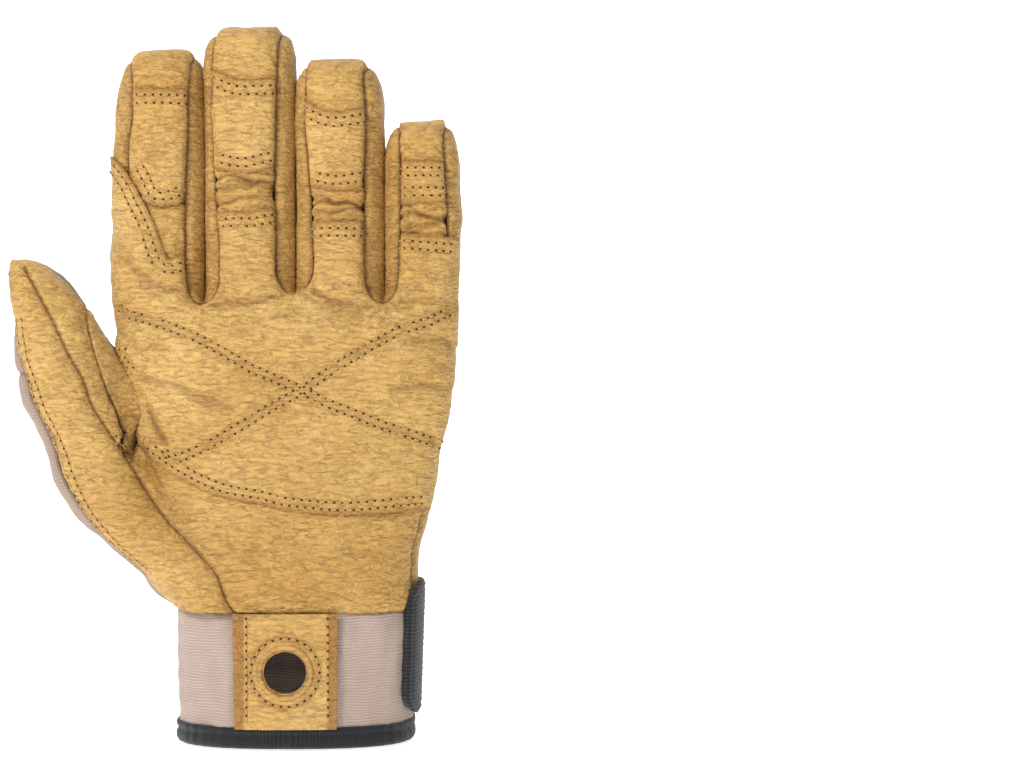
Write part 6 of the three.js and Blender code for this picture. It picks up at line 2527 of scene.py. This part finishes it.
    def build(self) -> None:
        """Makes the pieces."""
        band = leather_body("cuff_knit_band", self.band, CUFF_WALL, KNIT)
        place(band, "elastic_knit", "cuff_band")
        tab = leather_body("carabiner_tab_leather", self.tab, TAB_THICKNESS, PATCH_GOLD, RAW_EDGE)
        place(tab, "patch_leather", "carabiner_tab")
        place(leather_body("hole_lip", self.ring, self.lip_wall, GOLD), "patch_leather", "hole_ring")
        points, faces, cloth = self.make_hem()
        hem = new_mesh("hem_tape", points, faces, {"shade": np.zeros(len(points)), "cloth": cloth})
        hem.data.materials.append(BINDING.material())
        place(hem, "binding_tape", "hem_binding")
        strap = leather_body("wrist_strap", self.make_strap(), STRAP_THICKNESS, STRAP)
        place(strap, "closure_strap", "closure_strap")
        pad = leather_body("wrist_pad", self.make_pad(), PAD_THICKNESS, STRAP)
        place(pad, "closure_strap", "closure_pad")

    def sew(self, thread: Thread) -> None:
        """Rows beside the tab's two edges and a ring round its hole.

        Args:
            thread: collects the rows.
        """
        z = np.linspace(HEM_HEIGHT + 1.5, CUFF_TOP - 1.5, 60)
        for x in (-TAB_WIDTH / 2 + self.tab_rows[0], TAB_WIDTH / 2 - self.tab_rows[1]):
            thread.row_on(self.tab, np.stack([0 * z + TAB_SHIFT + x, z], 1))
        turn = np.linspace(0, 2 * math.pi, 160)
        ring = self.ring_row * np.stack([np.cos(turn), np.sin(turn)], 1)
        thread.row_on(self.tab, ring + np.array([TAB_SHIFT, HOLE_HEIGHT]))


@dataclass(frozen=True)
class Studio:
    """Plain pale floor and backdrop, soft light, and the photograph's point of view."""

    camera_x: float = 67.0
    camera_z: float = 108.0
    distance: float = 590.0
    seen_width: float = 311.6

    def build(self) -> None:
        """Makes the floor, lights and camera."""
        count = 40
        bend = np.linspace(0, math.pi / 2, 16)
        radius = 260.0
        profile = np.concatenate([
            np.stack([np.linspace(-1500, 1300, 12), np.zeros(12)], 1),
            np.stack([1300 + radius * np.sin(bend), radius - radius * np.cos(bend)], 1)[1:],
            np.stack([np.full(6, 1300 + radius), np.linspace(radius, 2600, 6)], 1)[1:],
        ])
        x = np.linspace(-2200, 2200, count)
        shape = (len(profile), count)
        sides = (x, profile[:, :1], profile[:, 1:] - 0.6)
        grid = np.stack([np.broadcast_to(v, shape) for v in sides], -1)
        i = np.arange(grid.shape[0] * count).reshape(-1, count)
        faces = np.stack([v.ravel() for v in (i[:-1, :-1], i[:-1, 1:], i[1:, 1:], i[1:, :-1])], 1)
        floor = new_mesh("floor", grid.reshape(-1, 3), faces)
        pale = Backdrop("pale_floor", (0.86, 0.86, 0.86), (0.8, 0.8, 0.8), 0.9)
        floor.data.materials.append(pale.material())
        world = bpy.data.worlds.new("studio")
        world.use_nodes = True
        world.node_tree.nodes["Background"].inputs["Color"].default_value = (1, 1, 1, 1)
        world.node_tree.nodes["Background"].inputs["Strength"].default_value = 0.26
        bpy.context.scene.world = world
        self.light("key", (-440, -560, 560), (0, 0, 110), 240, 4.7)
        self.light("fill", (520, -560, 200), (0, 0, 110), 600, 0.7)
        self.light("top", (60, -80, 800), (0, 0, 110), 420, 1.3)
        camera = bpy.data.cameras.new("camera")
        camera.sensor_width = 36
        camera.lens = 36 * (self.distance - 14) / self.seen_width
        camera.clip_start = 0.01
        eye = bpy.data.objects.new("camera", camera)
        eye.location = (self.camera_x * MM, -self.distance * MM, self.camera_z * MM)
        eye.rotation_euler = (math.pi / 2, 0, 0)
        bpy.context.scene.collection.objects.link(eye)
        bpy.context.scene.camera = eye
        bpy.context.scene.view_settings.view_transform = "Standard"

    @staticmethod
    def light(
        name: str,
        at: tuple[float, float, float],
        to: tuple[float, float, float],
        size: float,
        power: float,
    ) -> None:
        """Adds a square soft light that faces a point; lengths in millimetres.

        Args:
            name: the lamp's name.
            at: its place.
            to: the point that it faces.
            size: its side.
            power: its power in watts.
        """
        lamp = bpy.data.lights.new(name, "AREA")
        lamp.energy = power
        lamp.size = size * MM
        obj = bpy.data.objects.new(name, lamp)
        a, b = np.array(at, float), np.array(to, float)
        way = (b - a) / np.linalg.norm(b - a)
        obj.location = a * MM
        obj.rotation_euler = (math.acos(-way[2]), 0, math.atan2(way[0], -way[1]) + math.pi)
        bpy.context.scene.collection.objects.link(obj)


def main() -> None:
    """Builds the glove, then the studio."""
    logging.basicConfig(level=logging.INFO, format="%(name)s: %(message)s")
    thread = Thread("stitches", THREAD)
    palm = Palm()
    thumb = Thumb()
    cuff = Cuff()
    palm.build()
    palm.sew(thread)
    for f in FINGERS:
        for face in (-1, 1):
            FingerPiece(f, face).build()
        patch = FingerPatch(f)
        patch.build()
        patch.sew(thread)
    for f, after in zip(FINGERS[:-1], FINGERS[1:]):
        CrotchStrip(f, after).build()
    OuterStrip(FINGERS[0], -1, CUFF_TOP + WEB_NOTCH + 1.5, "index_side").build()
    OuterStrip(FINGERS[-1], 1, CUFF_TOP - 0.6, "little_side").build()
    thumb.build()
    thumb.sew(thread)
    Back(thumb).build()
    cuff.build()
    cuff.sew(thread)
    for obj in thread.build():
        place(obj, "patch_leather")
    Studio().build()


if __name__ == "__main__":
    main()
